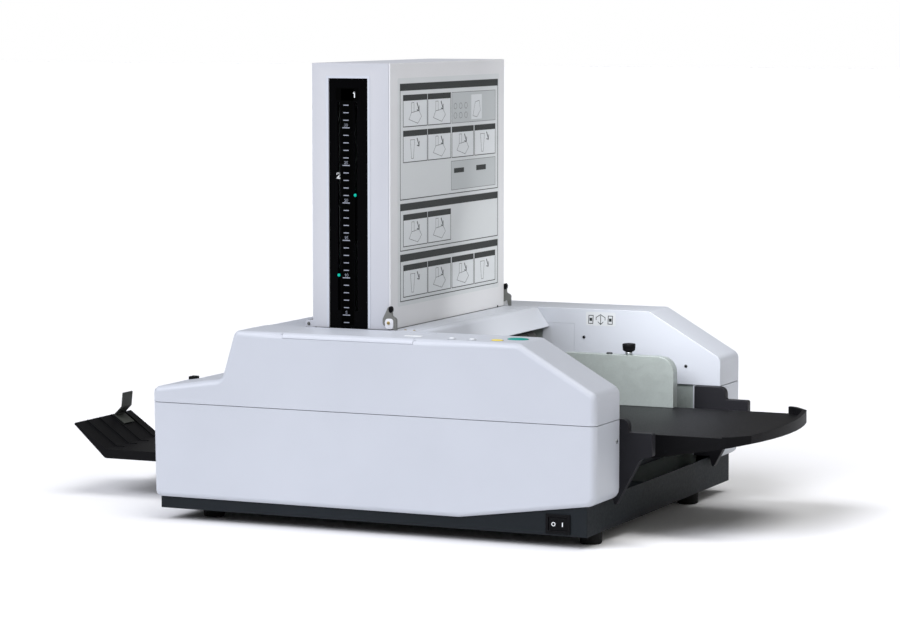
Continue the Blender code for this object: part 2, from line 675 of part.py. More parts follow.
def drive():
    """Motor and pinion under the middle fold gear, and the belt to the feed shaft."""
    middle = (roller_x(2), PINION_Z)
    face = GEAR_END + GEAR_SETBACK / 2
    place = (middle[0], 0.0, middle[1])
    shaft = rod(Y_AXIS, middle, MOTOR_SHAFT, GEAR_START - GEAR_SETBACK / 2, face + OVERRUN, 12)
    piece("motor_shaft", BRIGHT_STEEL, shaft,
          join(toothed(PINION_TEETH, middle, GEAR_START, GEAR_END, HALF_TOOTH_SHARE)),
          pivot=(middle[0], MID_DEPTH, middle[1]))
    body = turned([(MOTOR_RADIUS - SHEET, face), (MOTOR_RADIUS, face + SHEET),
                   (MOTOR_RADIUS, face + MOTOR_LENGTH), (MOTOR_RADIUS - SHEET, face + MOTOR_LENGTH + SHEET)],
                  Y_AXIS, place)
    reach = MOTOR_RADIUS - 2 * MOTOR_POST
    posts = []
    for direction in MOTOR_POST_DIRECTIONS:
        spot = (middle[0] + reach * math.cos(direction), middle[1] + reach * math.sin(direction))
        posts.append(rod(Y_AXIS, spot, MOTOR_POST, MACHINE_DEPTH - FRAME_OUTER + FIT, face + SHEET, 12))
    clearance = rod(Y_AXIS, middle, MOTOR_SHAFT + FIT, 0.0, face + OVERRUN + FIT, 12)
    piece("drive_motor", BASE_STEEL, body, join(*posts) + cut(clearance))

    first, feed = (roller_x(0), ROLLER_Z), (FEED_X, FEED_Z)
    slope = math.atan2(feed[1] - first[1], feed[0] - first[0])

    def belt_loop(radius):
        """Round the two pulleys at the given radius."""
        points = []
        for centre, turn in ((feed, -math.pi / 2), (first, math.pi / 2)):
            for step in range(BELT_STEPS + 1):
                angle = slope + turn + math.pi * step / BELT_STEPS
                points.append((centre[0] + radius * math.cos(angle), centre[1] + radius * math.sin(angle), 0.0))
        return points

    inside = prism(belt_loop(PULLEY_RADIUS + FIT), Y_AXIS, 0.0, MACHINE_DEPTH)
    piece("drive_belt", BLACK_RUBBER,
          prism(belt_loop(PULLEY_RADIUS + FIT + BELT_THICK), Y_AXIS, PULLEY_START + FIT, PULLEY_END - FIT),
          cut(inside))


# Tower on its hinge
TOWER_FRONT = INNER_FRONT + TOWER_GAP
TOWER_REAR = INNER_REAR - TOWER_GAP
TOWER_FOOT = TOP_HEIGHT + FIT
TOWER_ROOF = TOWER_TOP - SHEET
KNUCKLE = 5.2 * MM
HINGE_PIN = 2 * MM
LUG_WIDTH = 2.4 * MM
BLOCK_WIDTH = 12 * MM
FOLD_FRONT = INNER_FRONT + FOLD_SETBACK + PLASTIC
FOLD_REAR = INNER_REAR - FOLD_SETBACK
CARRIAGE_HALF = 8 * MM
CARRIAGE_DEPTH = 12 * MM
POINTER = 1.6 * MM
POINTER_RISE = 6 * MM
LATCH_X = 307.5 * MM
LATCH_EYE = 5 * MM
LATCH_REACH = 15.5 * MM
LATCH_RISE = 21 * MM
LATCH_Z = 111 * MM


def hinge_lug(thick_start, thick_end):
    """A flat ear round the hinge line that runs into the tower's delivery-side wall."""
    corners = [(HINGE_X - KNUCKLE, HINGE_Z - KNUCKLE, KNUCKLE - FIT),
               (TOWER_START + TOWER_ROUND, HINGE_Z - KNUCKLE, 0.0),
               (TOWER_START + TOWER_ROUND, HINGE_Z + KNUCKLE, 0.0),
               (HINGE_X - KNUCKLE, HINGE_Z + KNUCKLE, KNUCKLE - FIT)]
    return prism(corners, Y_AXIS, thick_start, thick_end)


def tower():
    """Sheet-steel housing with its scale window, side panel and hinge ears."""
    pivot = (HINGE_X, MID_DEPTH, HINGE_Z)
    seam = TOWER_END - SHEET - FIT
    outer = block((TOWER_START, TOWER_FRONT, TOWER_FOOT), (TOWER_END, TOWER_REAR, TOWER_TOP), TOWER_ROUND)
    hollow = block((TOWER_START + SHEET, TOWER_FRONT + SHEET, TOWER_FOOT - OVERRUN),
                   (TOWER_END + OVERRUN, TOWER_REAR - SHEET, TOWER_ROOF))
    side = block((seam, -OVERRUN, -OVERRUN), (TOWER_END + OVERRUN, MACHINE_DEPTH, TOWER_TOP + OVERRUN))
    window = block((WINDOW_START, TOWER_FRONT - OVERRUN, TOWER_FOOT - OVERRUN),
                   (WINDOW_END, TOWER_FRONT + OVERRUN, WINDOW_TOP))
    lugs = [hinge_lug(TOWER_FRONT + FIT, TOWER_FRONT + LUG_WIDTH),
            hinge_lug(TOWER_REAR - LUG_WIDTH, TOWER_REAR - FIT)]
    pin_hole = rod(Y_AXIS, (HINGE_X, HINGE_Z), HINGE_PIN + FIT, 0.0, MACHINE_DEPTH, 12)
    inside = SHEET + SOFT_EDGE
    studs = [rod(Y_AXIS, (LATCH_X, LATCH_Z), HINGE_PIN, TOWER_FRONT - TOWER_GAP + FIT, TOWER_FRONT + inside, 12),
             rod(Y_AXIS, (LATCH_X, LATCH_Z), HINGE_PIN, TOWER_REAR - inside, TOWER_REAR + TOWER_GAP - FIT, 12)]
    piece("tower_shell", TOWER_STEEL, outer,
          cut(hollow, side, window) + join(*lugs) + cut(pin_hole) + join(*studs), pivot=pivot)
    panel = block((TOWER_END - SHEET, TOWER_FRONT, TOWER_FOOT), (TOWER_END, TOWER_REAR, TOWER_TOP))
    piece("tower_side_panel", TOWER_STEEL, panel, pivot=pivot)

    behind = TOWER_FRONT + SHEET + FIT
    slots = [block((x - SLOT_WIDTH / 2, 0.0, TRAVEL_FOOT - SLOT_WIDTH),
                   (x + SLOT_WIDTH / 2, MID_DEPTH, TRAVEL_TOP + SLOT_WIDTH)) for x in (SLOT_1, SLOT_2)]
    piece("scale_window", WINDOW_GLOSS,
          block((WINDOW_START - SLOT_WIDTH, behind, TOWER_FOOT + FIT),
                (WINDOW_END + SLOT_WIDTH, behind + SHEET, WINDOW_TOP + SLOT_WIDTH)), cut(*slots), pivot=pivot)


def fold_station(number, nip_x, slot_x, reading):
    """One fold plate over its nip, and the stopper that slides in it on a guide rod."""
    tower_pivot = (HINGE_X, MID_DEPTH, HINGE_Z)
    half, skin = FOLD_GAP / 2, FOLD_SHEET
    left, right = nip_x - half - skin, nip_x + half + skin
    corners = [(left, FOLD_FRONT, 0.0), (nip_x - half, FOLD_FRONT, 0.0), (nip_x - half, FOLD_REAR - skin, 0.0),
               (nip_x + half, FOLD_REAR - skin, 0.0), (nip_x + half, FOLD_FRONT, 0.0),
               (right, FOLD_FRONT, 0.0), (right, FOLD_REAR, 0.0), (left, FOLD_REAR, 0.0)]
    piece(f"fold_plate_{number}", ZINC_STEEL, prism(corners, Z_AXIS, FOLD_MOUTH, TOWER_ROOF - FIT),
          pivot=tower_pivot)
    rod_y = INNER_FRONT + FOLD_SETBACK - GUIDE_ROD_SETBACK / 2
    piece(f"guide_rod_{number}", BRIGHT_STEEL,
          rod(Z_AXIS, (slot_x, rod_y), GUIDE_ROD, TOWER_FOOT, TOWER_ROOF - FIT, 12), pivot=tower_pivot)
    low = reading - STOPPER_DROP - STOPPER_HEIGHT
    near, far = rod_y - CARRIAGE_DEPTH / 2, rod_y + CARRIAGE_DEPTH / 2
    carriage = block((slot_x - CARRIAGE_HALF, near, low), (slot_x + CARRIAGE_HALF, far, reading + POINTER_RISE),
                     SOFT_EDGE)
    arm = block((slot_x, far - PLASTIC, low), (nip_x + half - RUNNING_FIT, FOLD_FRONT - RUNNING_FIT,
                                               low + STOPPER_HEIGHT))
    bar = block((nip_x - half + RUNNING_FIT, far - PLASTIC / 2, low),
                (nip_x + half - RUNNING_FIT, FOLD_REAR - skin - RUNNING_FIT, low + STOPPER_HEIGHT))
    pointer = rod(Y_AXIS, (slot_x, reading), POINTER, TOWER_FRONT + SOFT_EDGE, near + SHEET, 12)
    bore = rod(Z_AXIS, (slot_x, rod_y), GUIDE_ROD + FIT, 0.0, TOWER_TOP, 12)
    piece(f"stopper_{number}", BLACK_PLASTIC, carriage, join(arm, bar, pointer) + cut(bore),
          pivot=(slot_x, rod_y, reading))


def latches():
    """Two hook levers that hold the tower upright on the bridge plate."""
    toe = LATCH_X + LATCH_REACH
    heel = LATCH_X - LATCH_EYE
    finger = LATCH_X + LATCH_EYE + SOFT_EDGE
    corners = [
        (heel, LATCH_Z - LATCH_EYE, LATCH_EYE - SOFT_EDGE),
        (finger, LATCH_Z - LATCH_EYE + SOFT_EDGE, PLASTIC),
        (toe - 2 * PLASTIC, LATCH_Z + SHEET, SHEET),
        (toe - 2 * SHEET, TOP_HEIGHT + RUNNING_FIT, 0.0),
        (toe, TOP_HEIGHT + RUNNING_FIT, 0.0),
        (toe, LATCH_Z + 2 * PLASTIC, 2 * SHEET),
        (finger + PLASTIC, LATCH_Z + 3 * PLASTIC, PLASTIC),
        (finger + PLASTIC, LATCH_Z + LATCH_RISE, SHEET),
        (finger - PLASTIC, LATCH_Z + LATCH_RISE, SHEET),
        (heel, LATCH_Z + LATCH_EYE, LATCH_EYE - SOFT_EDGE),
    ]
    for name, rear in (("front_latch", False), ("rear_latch", True)):
        hole = rod(Y_AXIS, (LATCH_X, LATCH_Z), HINGE_PIN + FIT, 0.0, MACHINE_DEPTH, 12)
        y = TOWER_FRONT - TOWER_GAP / 2
        piece(name, ZINC_STEEL,
              prism(corners, Y_AXIS, TOWER_FRONT - TOWER_GAP + 2 * FIT, TOWER_FRONT - 2 * FIT),
              cut(hole), pivot=(LATCH_X, MACHINE_DEPTH - y if rear else y, LATCH_Z), rear=rear)


def hinge_beam():
    """The crossbeam on the delivery side of the tower with the two knuckles it turns on."""
    low = ROLLER_Z + ROLLER_RADIUS + PLASTIC
    beam = block((HINGE_X - KNUCKLE, FRAME_SPAN[0] + FIT, low),
                 (TOWER_START - SHEET, FRAME_SPAN[1] - FIT, HINGE_Z - KNUCKLE - SHEET))
    trim = block((0.0, 0.0, FRAME_TOP - PLASTIC - FIT), (COVER_LENGTH, INNER_FRONT + FIT, TOWER_TOP))
    changes = []
    for near in (TOWER_FRONT + LUG_WIDTH + FIT, TOWER_REAR - LUG_WIDTH - FIT - BLOCK_WIDTH):
        corners = [(HINGE_X - KNUCKLE, low, 0.0), (HINGE_X + KNUCKLE - FIT, low, 0.0),
                   (HINGE_X + KNUCKLE - FIT, HINGE_Z + KNUCKLE, KNUCKLE - SOFT_EDGE),
                   (HINGE_X - KNUCKLE, HINGE_Z + KNUCKLE, KNUCKLE - SOFT_EDGE)]
        changes += join(prism(corners, Y_AXIS, near, near + BLOCK_WIDTH))
    for near, far in ((TOWER_FRONT - SOFT_EDGE, TOWER_FRONT + BLOCK_WIDTH),
                      (TOWER_REAR - BLOCK_WIDTH, TOWER_REAR + SOFT_EDGE)):
        changes += join(rod(Y_AXIS, (HINGE_X, HINGE_Z), HINGE_PIN, near, far, 12))
    piece("hinge_beam", GREY_PLASTIC, beam, cut(trim, mirrored(trim)) + changes)


# Feed side
HOOD_HINGE_X = 352 * MM
HOOD_CREST_X = 363 * MM
HOOD_ROUND = 9 * MM
BRIDGE_FLANGE = 12 * MM
RINGS_A_SIDE = 4
RING_START = 135 * MM
RING_GROOVE = 3 * MM
PICK_WIDTH = 40 * MM
ARM_WIDTH = 6 * MM
ARM_ROOM = 10 * MM
ARM_EAR = 9 * MM
FENCE_X = 384 * MM
FENCE_TOP = 24 * MM
FENCE_FOOT = 70 * MM
PAD_WIDTH = 60 * MM
PAD_START = 354 * MM
TABLE_REAR = MACHINE_DEPTH - TABLE_FRONT
TABLE_DEEP = 57 * MM
TABLE_KNEE = 664 * MM
TABLE_TIP_DROP = 34 * MM
TABLE_CORNER = 22 * MM
NOSE_BOW = 14 * MM
NOSE_STEPS = 8
NOSE_SETBACK = 24 * MM
RIM_START = 760 * MM
RIM_WIDTH = 6 * MM
RIM_LOW = 1 * MM
RIM_HIGH = 10 * MM
RACK_MODULE = 1.5 * MM
LIFT_TEETH = 16
RACK_TEETH = 14
RACK_LEAD = 2
RACK_FLANK_SHARES = (0.27, 0.07)
RACK_BACK = 8 * MM
RACK_WIDTH = 8 * MM


def bent_sheet(path, thickness):
    """Closed corners of a sheet of even thickness that lies on the left of an open path of corners."""
    far = []
    for index, (u, v, radius) in enumerate(path):
        here = Vector((u, v))
        into = (here - Vector(path[index - 1][:2])).normalized() if index else None
        out = (Vector(path[index + 1][:2]) - here).normalized() if index + 1 < len(path) else None
        into, out = into or out, out or into
        sideways = Vector((-into.y, into.x)) + Vector((-out.y, out.x))
        turn = into.x * out.y - into.y * out.x
        place = here + sideways * (thickness / (1 + into.dot(out)))
        if radius:
            radius = max(radius - math.copysign(thickness, turn), FIT)
        far.append((place.x, place.y, radius))
    return list(path) + far[::-1]


def bridge_and_hood():
    """The fixed plate behind the tower, and the hood over the feed roller."""
    outer = block((TOWER_END + SOFT_EDGE, INNER_FRONT + FIT, TOP_HEIGHT - BRIDGE_FLANGE),
                  (BRIDGE_END, INNER_REAR - FIT, TOP_HEIGHT))
    hollow = block((TOWER_END + SOFT_EDGE + SHEET, INNER_FRONT + FIT + SHEET, TOP_HEIGHT - 2 * BRIDGE_FLANGE),
                   (BRIDGE_END - SHEET, INNER_REAR - FIT - SHEET, TOP_HEIGHT - SHEET))
    piece("bridge_plate", LID_PLASTIC, outer, cut(hollow))
    path = [(HOOD_HINGE_X - SHEET, TOP_HEIGHT - HOOD_SKIN, 0.0),
            (HOOD_CREST_X - SOFT_EDGE, TOP_HEIGHT - HOOD_SKIN, HOOD_ROUND - HOOD_SKIN),
            (HOOD_EDGE_X - HOOD_SKIN, HOOD_EDGE_Z, 0.0)]
    piece("feed_hood", LID_PLASTIC,
          prism(bent_sheet(path, HOOD_SKIN), Y_AXIS, INNER_FRONT + 2 * FIT, INNER_REAR - 2 * FIT),
          pivot=(HOOD_HINGE_X, MID_DEPTH, TOP_HEIGHT - HOOD_SKIN / 2))


def feed_unit():
    """Ribbed feed roller, the arm that hangs on its shaft with the pick-up roller, and the fence."""
    half = PICK_WIDTH / 2 + ARM_WIDTH
    gap = half + ARM_ROOM
    pitch = (MID_DEPTH - gap - RING_START + RING_GROOVE) / RINGS_A_SIDE
    profile = [(FEED_SHAFT, FRAME_OUTER - SHEET)]
    for sleeve in (RING_START, MID_DEPTH + gap):
        for ring in range(RINGS_A_SIDE):
            near = sleeve + pitch * ring
            far = near + pitch - RING_GROOVE
            before = FEED_RADIUS - RING_GROOVE if ring else FEED_SHAFT
            after = FEED_RADIUS - RING_GROOVE if ring < RINGS_A_SIDE - 1 else FEED_SHAFT
            profile += [(before, near), (FEED_RADIUS, near), (FEED_RADIUS, far), (after, far)]
    profile += [(FEED_SHAFT, PULLEY_END + SOFT_EDGE)]
    piece("feed_roller", BLACK_RUBBER, turned(profile, Y_AXIS, (FEED_X, 0.0, FEED_Z)),
          join(pulley((FEED_X, FEED_Z))), pivot=(FEED_X, MID_DEPTH, FEED_Z))

    cheeks = []
    lean = math.atan2(PICK_Z - FEED_Z, PICK_X - FEED_X)
    reach = math.hypot(PICK_Z - FEED_Z, PICK_X - FEED_X)
    outline = []
    for along_arm, across in ((-ARM_EAR, -ARM_EAR), (reach + ARM_EAR, -ARM_EAR),
                              (reach + ARM_EAR, ARM_EAR), (-ARM_EAR, ARM_EAR)):
        outline.append((FEED_X + along_arm * math.cos(lean) - across * math.sin(lean),
                        FEED_Z + along_arm * math.sin(lean) + across * math.cos(lean), ARM_EAR - SOFT_EDGE))
    for side in (-1, 1):
        near = MID_DEPTH + side * (half - ARM_WIDTH / 2) - ARM_WIDTH / 2
        cheeks.append(prism(outline, Y_AXIS, near, near + ARM_WIDTH))
    tie = rod(Y_AXIS, ((FEED_X + PICK_X) / 2, (FEED_Z + PICK_Z) / 2), FEED_SHAFT,
              MID_DEPTH - half + SOFT_EDGE, MID_DEPTH + half - SOFT_EDGE, 12)
    bores = [rod(Y_AXIS, (FEED_X, FEED_Z), FEED_SHAFT + FIT, 0.0, MACHINE_DEPTH, 16),
             rod(Y_AXIS, (PICK_X, PICK_Z), HINGE_PIN + FIT, 0.0, MACHINE_DEPTH, 12)]
    piece("pick_arm", GREY_PLASTIC, cheeks[0], join(tie, cheeks[1]) + cut(*bores),
          pivot=(FEED_X, MID_DEPTH, FEED_Z))
    low, high = MID_DEPTH - PICK_WIDTH / 2, MID_DEPTH + PICK_WIDTH / 2
    profile = [(HINGE_PIN, low - ARM_WIDTH), (HINGE_PIN, low + FIT), (PICK_RADIUS, low + FIT),
               (PICK_RADIUS, high - FIT), (HINGE_PIN, high - FIT), (HINGE_PIN, high + ARM_WIDTH)]
    piece("pick_roller", BLACK_RUBBER, turned(profile, Y_AXIS, (PICK_X, 0.0, PICK_Z)),
          pivot=(PICK_X, MID_DEPTH, PICK_Z))
    fence = block((FENCE_X, FRAME_SPAN[0] + FIT, -FENCE_FOOT), (FENCE_X + SHEET, FRAME_SPAN[1] - FIT, FENCE_TOP))
    pad = block((PAD_START, MID_DEPTH - PAD_WIDTH / 2, FENCE_TOP - PLASTIC),
                (FENCE_X + SOFT_EDGE, MID_DEPTH + PAD_WIDTH / 2, FENCE_TOP - SOFT_EDGE))
    piece("paper_fence", ZINC_STEEL, fence, join(pad))


def feed_table():
    """The lifting table with its bowed nose, hollow underneath, on two racks and a pinion shaft."""
    edge_x = TABLE_REACH - NOSE_BOW
    half = MID_DEPTH - TABLE_FRONT - NOSE_SETBACK
    radius = (half * half + NOSE_BOW * NOSE_BOW) / (2 * NOSE_BOW)
    spread = math.asin(half / radius)
    plan = [(TABLE_START, TABLE_FRONT, 0.0), (TABLE_NOSE, TABLE_FRONT, TABLE_CORNER)]
    for step in range(NOSE_STEPS + 1):
        angle = -spread + 2 * spread * step / NOSE_STEPS
        plan.append((TABLE_REACH - radius + radius * math.cos(angle), MID_DEPTH + radius * math.sin(angle), 0.0))
    plan += [(TABLE_NOSE, TABLE_REAR, TABLE_CORNER), (TABLE_START, TABLE_REAR, 0.0)]
    below = -TABLE_DEEP - OVERRUN
    rising = [(TABLE_KNEE, -TABLE_DEEP - FIT, 0.0), (TABLE_KNEE, below, 0.0), (TABLE_REACH + OVERRUN, below, 0.0),
              (TABLE_REACH + OVERRUN, -TABLE_TIP_DROP, 0.0), (edge_x, -TABLE_TIP_DROP, 0.0)]
    sweep = prism(rising, Y_AXIS, 0.0, MACHINE_DEPTH)
    hollow = prism(offset_outline(plan, TABLE_SKIN), Z_AXIS, below, -TABLE_TOP - TABLE_SKIN)
    rim_top = RIM_HIGH - TABLE_TOP
    level = block((TABLE_START - OVERRUN, 0.0, -TABLE_TOP), (RIM_START, MACHINE_DEPTH, rim_top + OVERRUN))
    inside = prism(offset_outline(plan, RIM_WIDTH), Z_AXIS, -TABLE_TOP, rim_top + OVERRUN)
    slant = [(TABLE_FRONT - OVERRUN, RIM_LOW - TABLE_TOP, 0.0), (TABLE_REAR, rim_top, 0.0),
             (TABLE_REAR + OVERRUN, rim_top, 0.0), (TABLE_REAR + OVERRUN, rim_top + OVERRUN, 0.0),
             (TABLE_FRONT - OVERRUN, rim_top + OVERRUN, 0.0)]
    slope = prism(slant, X_AXIS, TABLE_START, TABLE_REACH + OVERRUN)
    legs = []
    pitch = math.pi * RACK_MODULE
    pitch_line = LIFT_X + RACK_MODULE * LIFT_TEETH / 2
    flanks = ((ROOT_SHARE, -RACK_FLANK_SHARES[0]), (-TIP_SHARE, -RACK_FLANK_SHARES[1]),
              (-TIP_SHARE, RACK_FLANK_SHARES[1]), (ROOT_SHARE, RACK_FLANK_SHARES[0]))
    teeth = []
    for tooth in range(RACK_TEETH):
        for depth, share in flanks:
            teeth.append((pitch_line + depth * RACK_MODULE,
                          LIFT_Z - pitch * (RACK_TEETH - tooth - RACK_LEAD - HALF_TOOTH_SHARE - share), 0.0))
    back = pitch_line + RACK_BACK
    rack_foot = teeth[0][1] - SOFT_EDGE
    rack = [(back, rack_foot, 0.0), (back, -TABLE_TOP - TABLE_SKIN + SOFT_EDGE, 0.0),
            (pitch_line + ROOT_SHARE * RACK_MODULE, -TABLE_TOP - TABLE_SKIN + SOFT_EDGE, 0.0)]
    rack += teeth[::-1]
    rack += [(pitch_line + ROOT_SHARE * RACK_MODULE, rack_foot, 0.0)]
    for near in (TABLE_FRONT + OVERRUN, TABLE_REAR - OVERRUN - RACK_WIDTH):
        legs.append(prism(rack, Y_AXIS, near, near + RACK_WIDTH))
    piece("feed_table", BLACK_PLASTIC, prism(plan, Z_AXIS, -TABLE_DEEP, rim_top),
          cut(level, inside, slope, sweep, hollow) + join(*legs), pivot=(TABLE_START, MID_DEPTH, -TABLE_TOP))
    wheels = []
    for near in (TABLE_FRONT + OVERRUN, TABLE_REAR - OVERRUN - RACK_WIDTH):
        wheels.append(toothed(LIFT_TEETH, (LIFT_X, LIFT_Z), near - SOFT_EDGE, near + RACK_WIDTH + SOFT_EDGE, 0.0,
                              RACK_MODULE, RACK_FLANK_SHARES))
    piece("lift_shaft", BRIGHT_STEEL,
          rod(Y_AXIS, (LIFT_X, LIFT_Z), JOURNAL_RADIUS, FRAME_OUTER, MACHINE_DEPTH - FRAME_OUTER, 16),
          join(*wheels), pivot=(LIFT_X, MID_DEPTH, LIFT_Z))


def feed_brackets():
    """Dark brackets at the feed end that frame the table's channel on both sides."""
    outline = [
        (BRACKET_ROOT, BASE_TOP + SHEET, 0.0),
        (BASE_END + SHEET, BASE_TOP + SHEET, 0.0),
        (BASE_END + 3 * PLASTIC - SHEET, -BRACKET_FOOT, SHEET),
        (BRACKET_REACH - BRACKET_TOP, -BRACKET_KNEE, 3 * PLASTIC),
        (BRACKET_REACH, -BRACKET_KNEE + PLASTIC + SHEET, PLASTIC),
        (BRACKET_REACH, -BRACKET_TOP, PLASTIC),
        (BRACKET_TAB, -BRACKET_TOP, SHEET),
        (BRACKET_TAB, 0.0, 3 * PLASTIC),
        (BRACKET_ROOT, 0.0, 0.0),
    ]
    for name, rear in (("front_feed_bracket", False), ("rear_feed_bracket", True)):
        piece(name, BLACK_PLASTIC,
              prism(outline, Y_AXIS, INNER_FRONT + FIT, INNER_FRONT + FIT + BRACKET_THICK),
              rear=rear)


def side_guides():
    """Two bent steel guides on the table, and the thumb knob that locks them."""
    low = -TABLE_TOP + FIT
    wall = [(GUIDE_START, low, 0.0), (GUIDE_END, low, 0.0), (GUIDE_END, GUIDE_TOP, GUIDE_NOSE),
            (GUIDE_START, GUIDE_TOP, 0.0)]
    gap = [(GUIDE_START - OVERRUN, low - OVERRUN, 0.0), (GUIDE_END - GUIDE_SHEET, low - OVERRUN, 0.0),
           (GUIDE_END - GUIDE_SHEET, GUIDE_TOP - GUIDE_SHEET, GUIDE_NOSE - GUIDE_SHEET),
           (GUIDE_START - OVERRUN, GUIDE_TOP - GUIDE_SHEET, 0.0)]
    inner = GUIDE_FRONT + GUIDE_SHEET
    knob_y = MACHINE_DEPTH - inner + GUIDE_FLANGE / 2
    for name, rear in (("front_side_guide", False), ("rear_side_guide", True)):
        changes = cut(prism(gap, Y_AXIS, inner - GUIDE_FLANGE - OVERRUN, inner - GUIDE_SHEET))
        changes += cut(rod(Z_AXIS, (KNOB_X, MACHINE_DEPTH - knob_y), KNOB_STEM + FIT, 0.0, TOP_HEIGHT, 12))
        piece(name, ZINC_STEEL, prism(wall, Y_AXIS, inner - GUIDE_FLANGE, inner), changes,
              pivot=(GUIDE_START, MACHINE_DEPTH - inner if rear else inner, low), rear=rear)
    cap = GUIDE_TOP + KNOB_RISE
    profile = [(KNOB_STEM, GUIDE_TOP - KNOB_CAP), (KNOB_STEM, cap), (KNOB_RADIUS - SHEET, cap),
               (KNOB_RADIUS, cap + SHEET), (KNOB_RADIUS, cap + KNOB_CAP - SHEET),
               (KNOB_RADIUS - SHEET, cap + KNOB_CAP)]
    piece("guide_knob", BLACK_PLASTIC, turned(profile, Z_AXIS, (KNOB_X, knob_y, 0.0)),
          pivot=(KNOB_X, knob_y, cap))


# Delivery side
DELIVERY_SKIN = 2.5 * MM
DELIVERY_LIP = 22 * MM
DELIVERY_SINK = 1 * MM
DELIVERY_REACH = 3 * MM
GRIP_X = 8 * MM
GRIP_Y = 94 * MM
GRIP_SIZE = (9 * MM, 14 * MM, 5 * MM)
CHUTE_TOP = (213 * MM, 32 * MM)
CHUTE_BEND = (205 * MM, 12 * MM)
CHUTE_END = (76 * MM, -52 * MM)
CHUTE_ROUND = 12 * MM
TRAY_RIM = 13 * MM
TRAY_BEND_ROUND = 6 * MM
RIB_SPOTS = (186 * MM, 220 * MM, 254 * MM, 294 * MM)
RIB_WIDTH = 2 * MM
RIB_HEIGHT = 2.5 * MM
PADDLE_THICK = 2 * MM
PADDLE_FOOT = 24 * MM
PADDLE_LEAN = 13 * MM
PADDLE_RISE = 20 * MM
TRAY_REAR = MACHINE_DEPTH - TRAY_FRONT


def delivery_cover():
    """The moulded lid between the side covers over the delivery rollers, with its small grip."""
    sink = DELIVERY_SINK
    path = [(DELIVERY_REACH, -DELIVERY_LIP, 0.0), (DELIVERY_REACH, LEDGE_LOW - sink, RISER_ROUND - SHEET),
            (RISER_FOOT, LEDGE_HIGH - sink, LEDGE_ROUND), (RISER_TOP, TOP_HEIGHT - sink, RISER_ROUND),
            (DELIVERY_HINGE_X, TOP_HEIGHT - sink, 0.0)]
    corners = bent_sheet([(u, v, r) for u, v, r in path[::-1]], DELIVERY_SKIN)
    slope = math.atan2(LEDGE_HIGH - LEDGE_LOW, RISER_FOOT)
    width, depth, height = GRIP_SIZE
    top = LEDGE_LOW - sink + GRIP_X * math.tan(slope)
    grip = block((GRIP_X, GRIP_Y - depth / 2, top - SOFT_EDGE), (GRIP_X + width, GRIP_Y + depth / 2, top + height),
                 SOFT_EDGE)
    piece("delivery_cover", COVER_PLASTIC,
          prism(corners, Y_AXIS, INNER_FRONT + 2 * FIT, INNER_REAR - 2 * FIT), join(grip),
          pivot=(DELIVERY_HINGE_X, MID_DEPTH, TOP_HEIGHT - sink - DELIVERY_SKIN / 2))


def delivery_drive():
    """The chute under the fold rollers and the pair of delivery rollers."""
    path = [(*CHUTE_TOP, 0.0), (*CHUTE_BEND, CHUTE_ROUND), (*CHUTE_END, 0.0)]
    piece("delivery_chute", ZINC_STEEL,
          prism(bent_sheet(path, CHUTE_SKIN), Y_AXIS, FRAME_SPAN[0] + FIT, FRAME_SPAN[1] - FIT))
    low, high = ROLLER_SPAN
    for name, z in (("delivery_roller_upper", -OUT_Z + OUT_RADIUS + FIT),
                    ("delivery_roller_lower", -OUT_Z - OUT_RADIUS - FIT)):
        profile = [(JOURNAL_RADIUS, FRAME_OUTER - SHEET), (JOURNAL_RADIUS, low), (OUT_RADIUS, low),
                   (OUT_RADIUS, high), (JOURNAL_RADIUS, high),
                   (JOURNAL_RADIUS, MACHINE_DEPTH - FRAME_OUTER + SHEET)]
        piece(name, BLACK_RUBBER, turned(profile, Y_AXIS, (OUT_X, 0.0, z), 16), pivot=(OUT_X, MID_DEPTH, z))


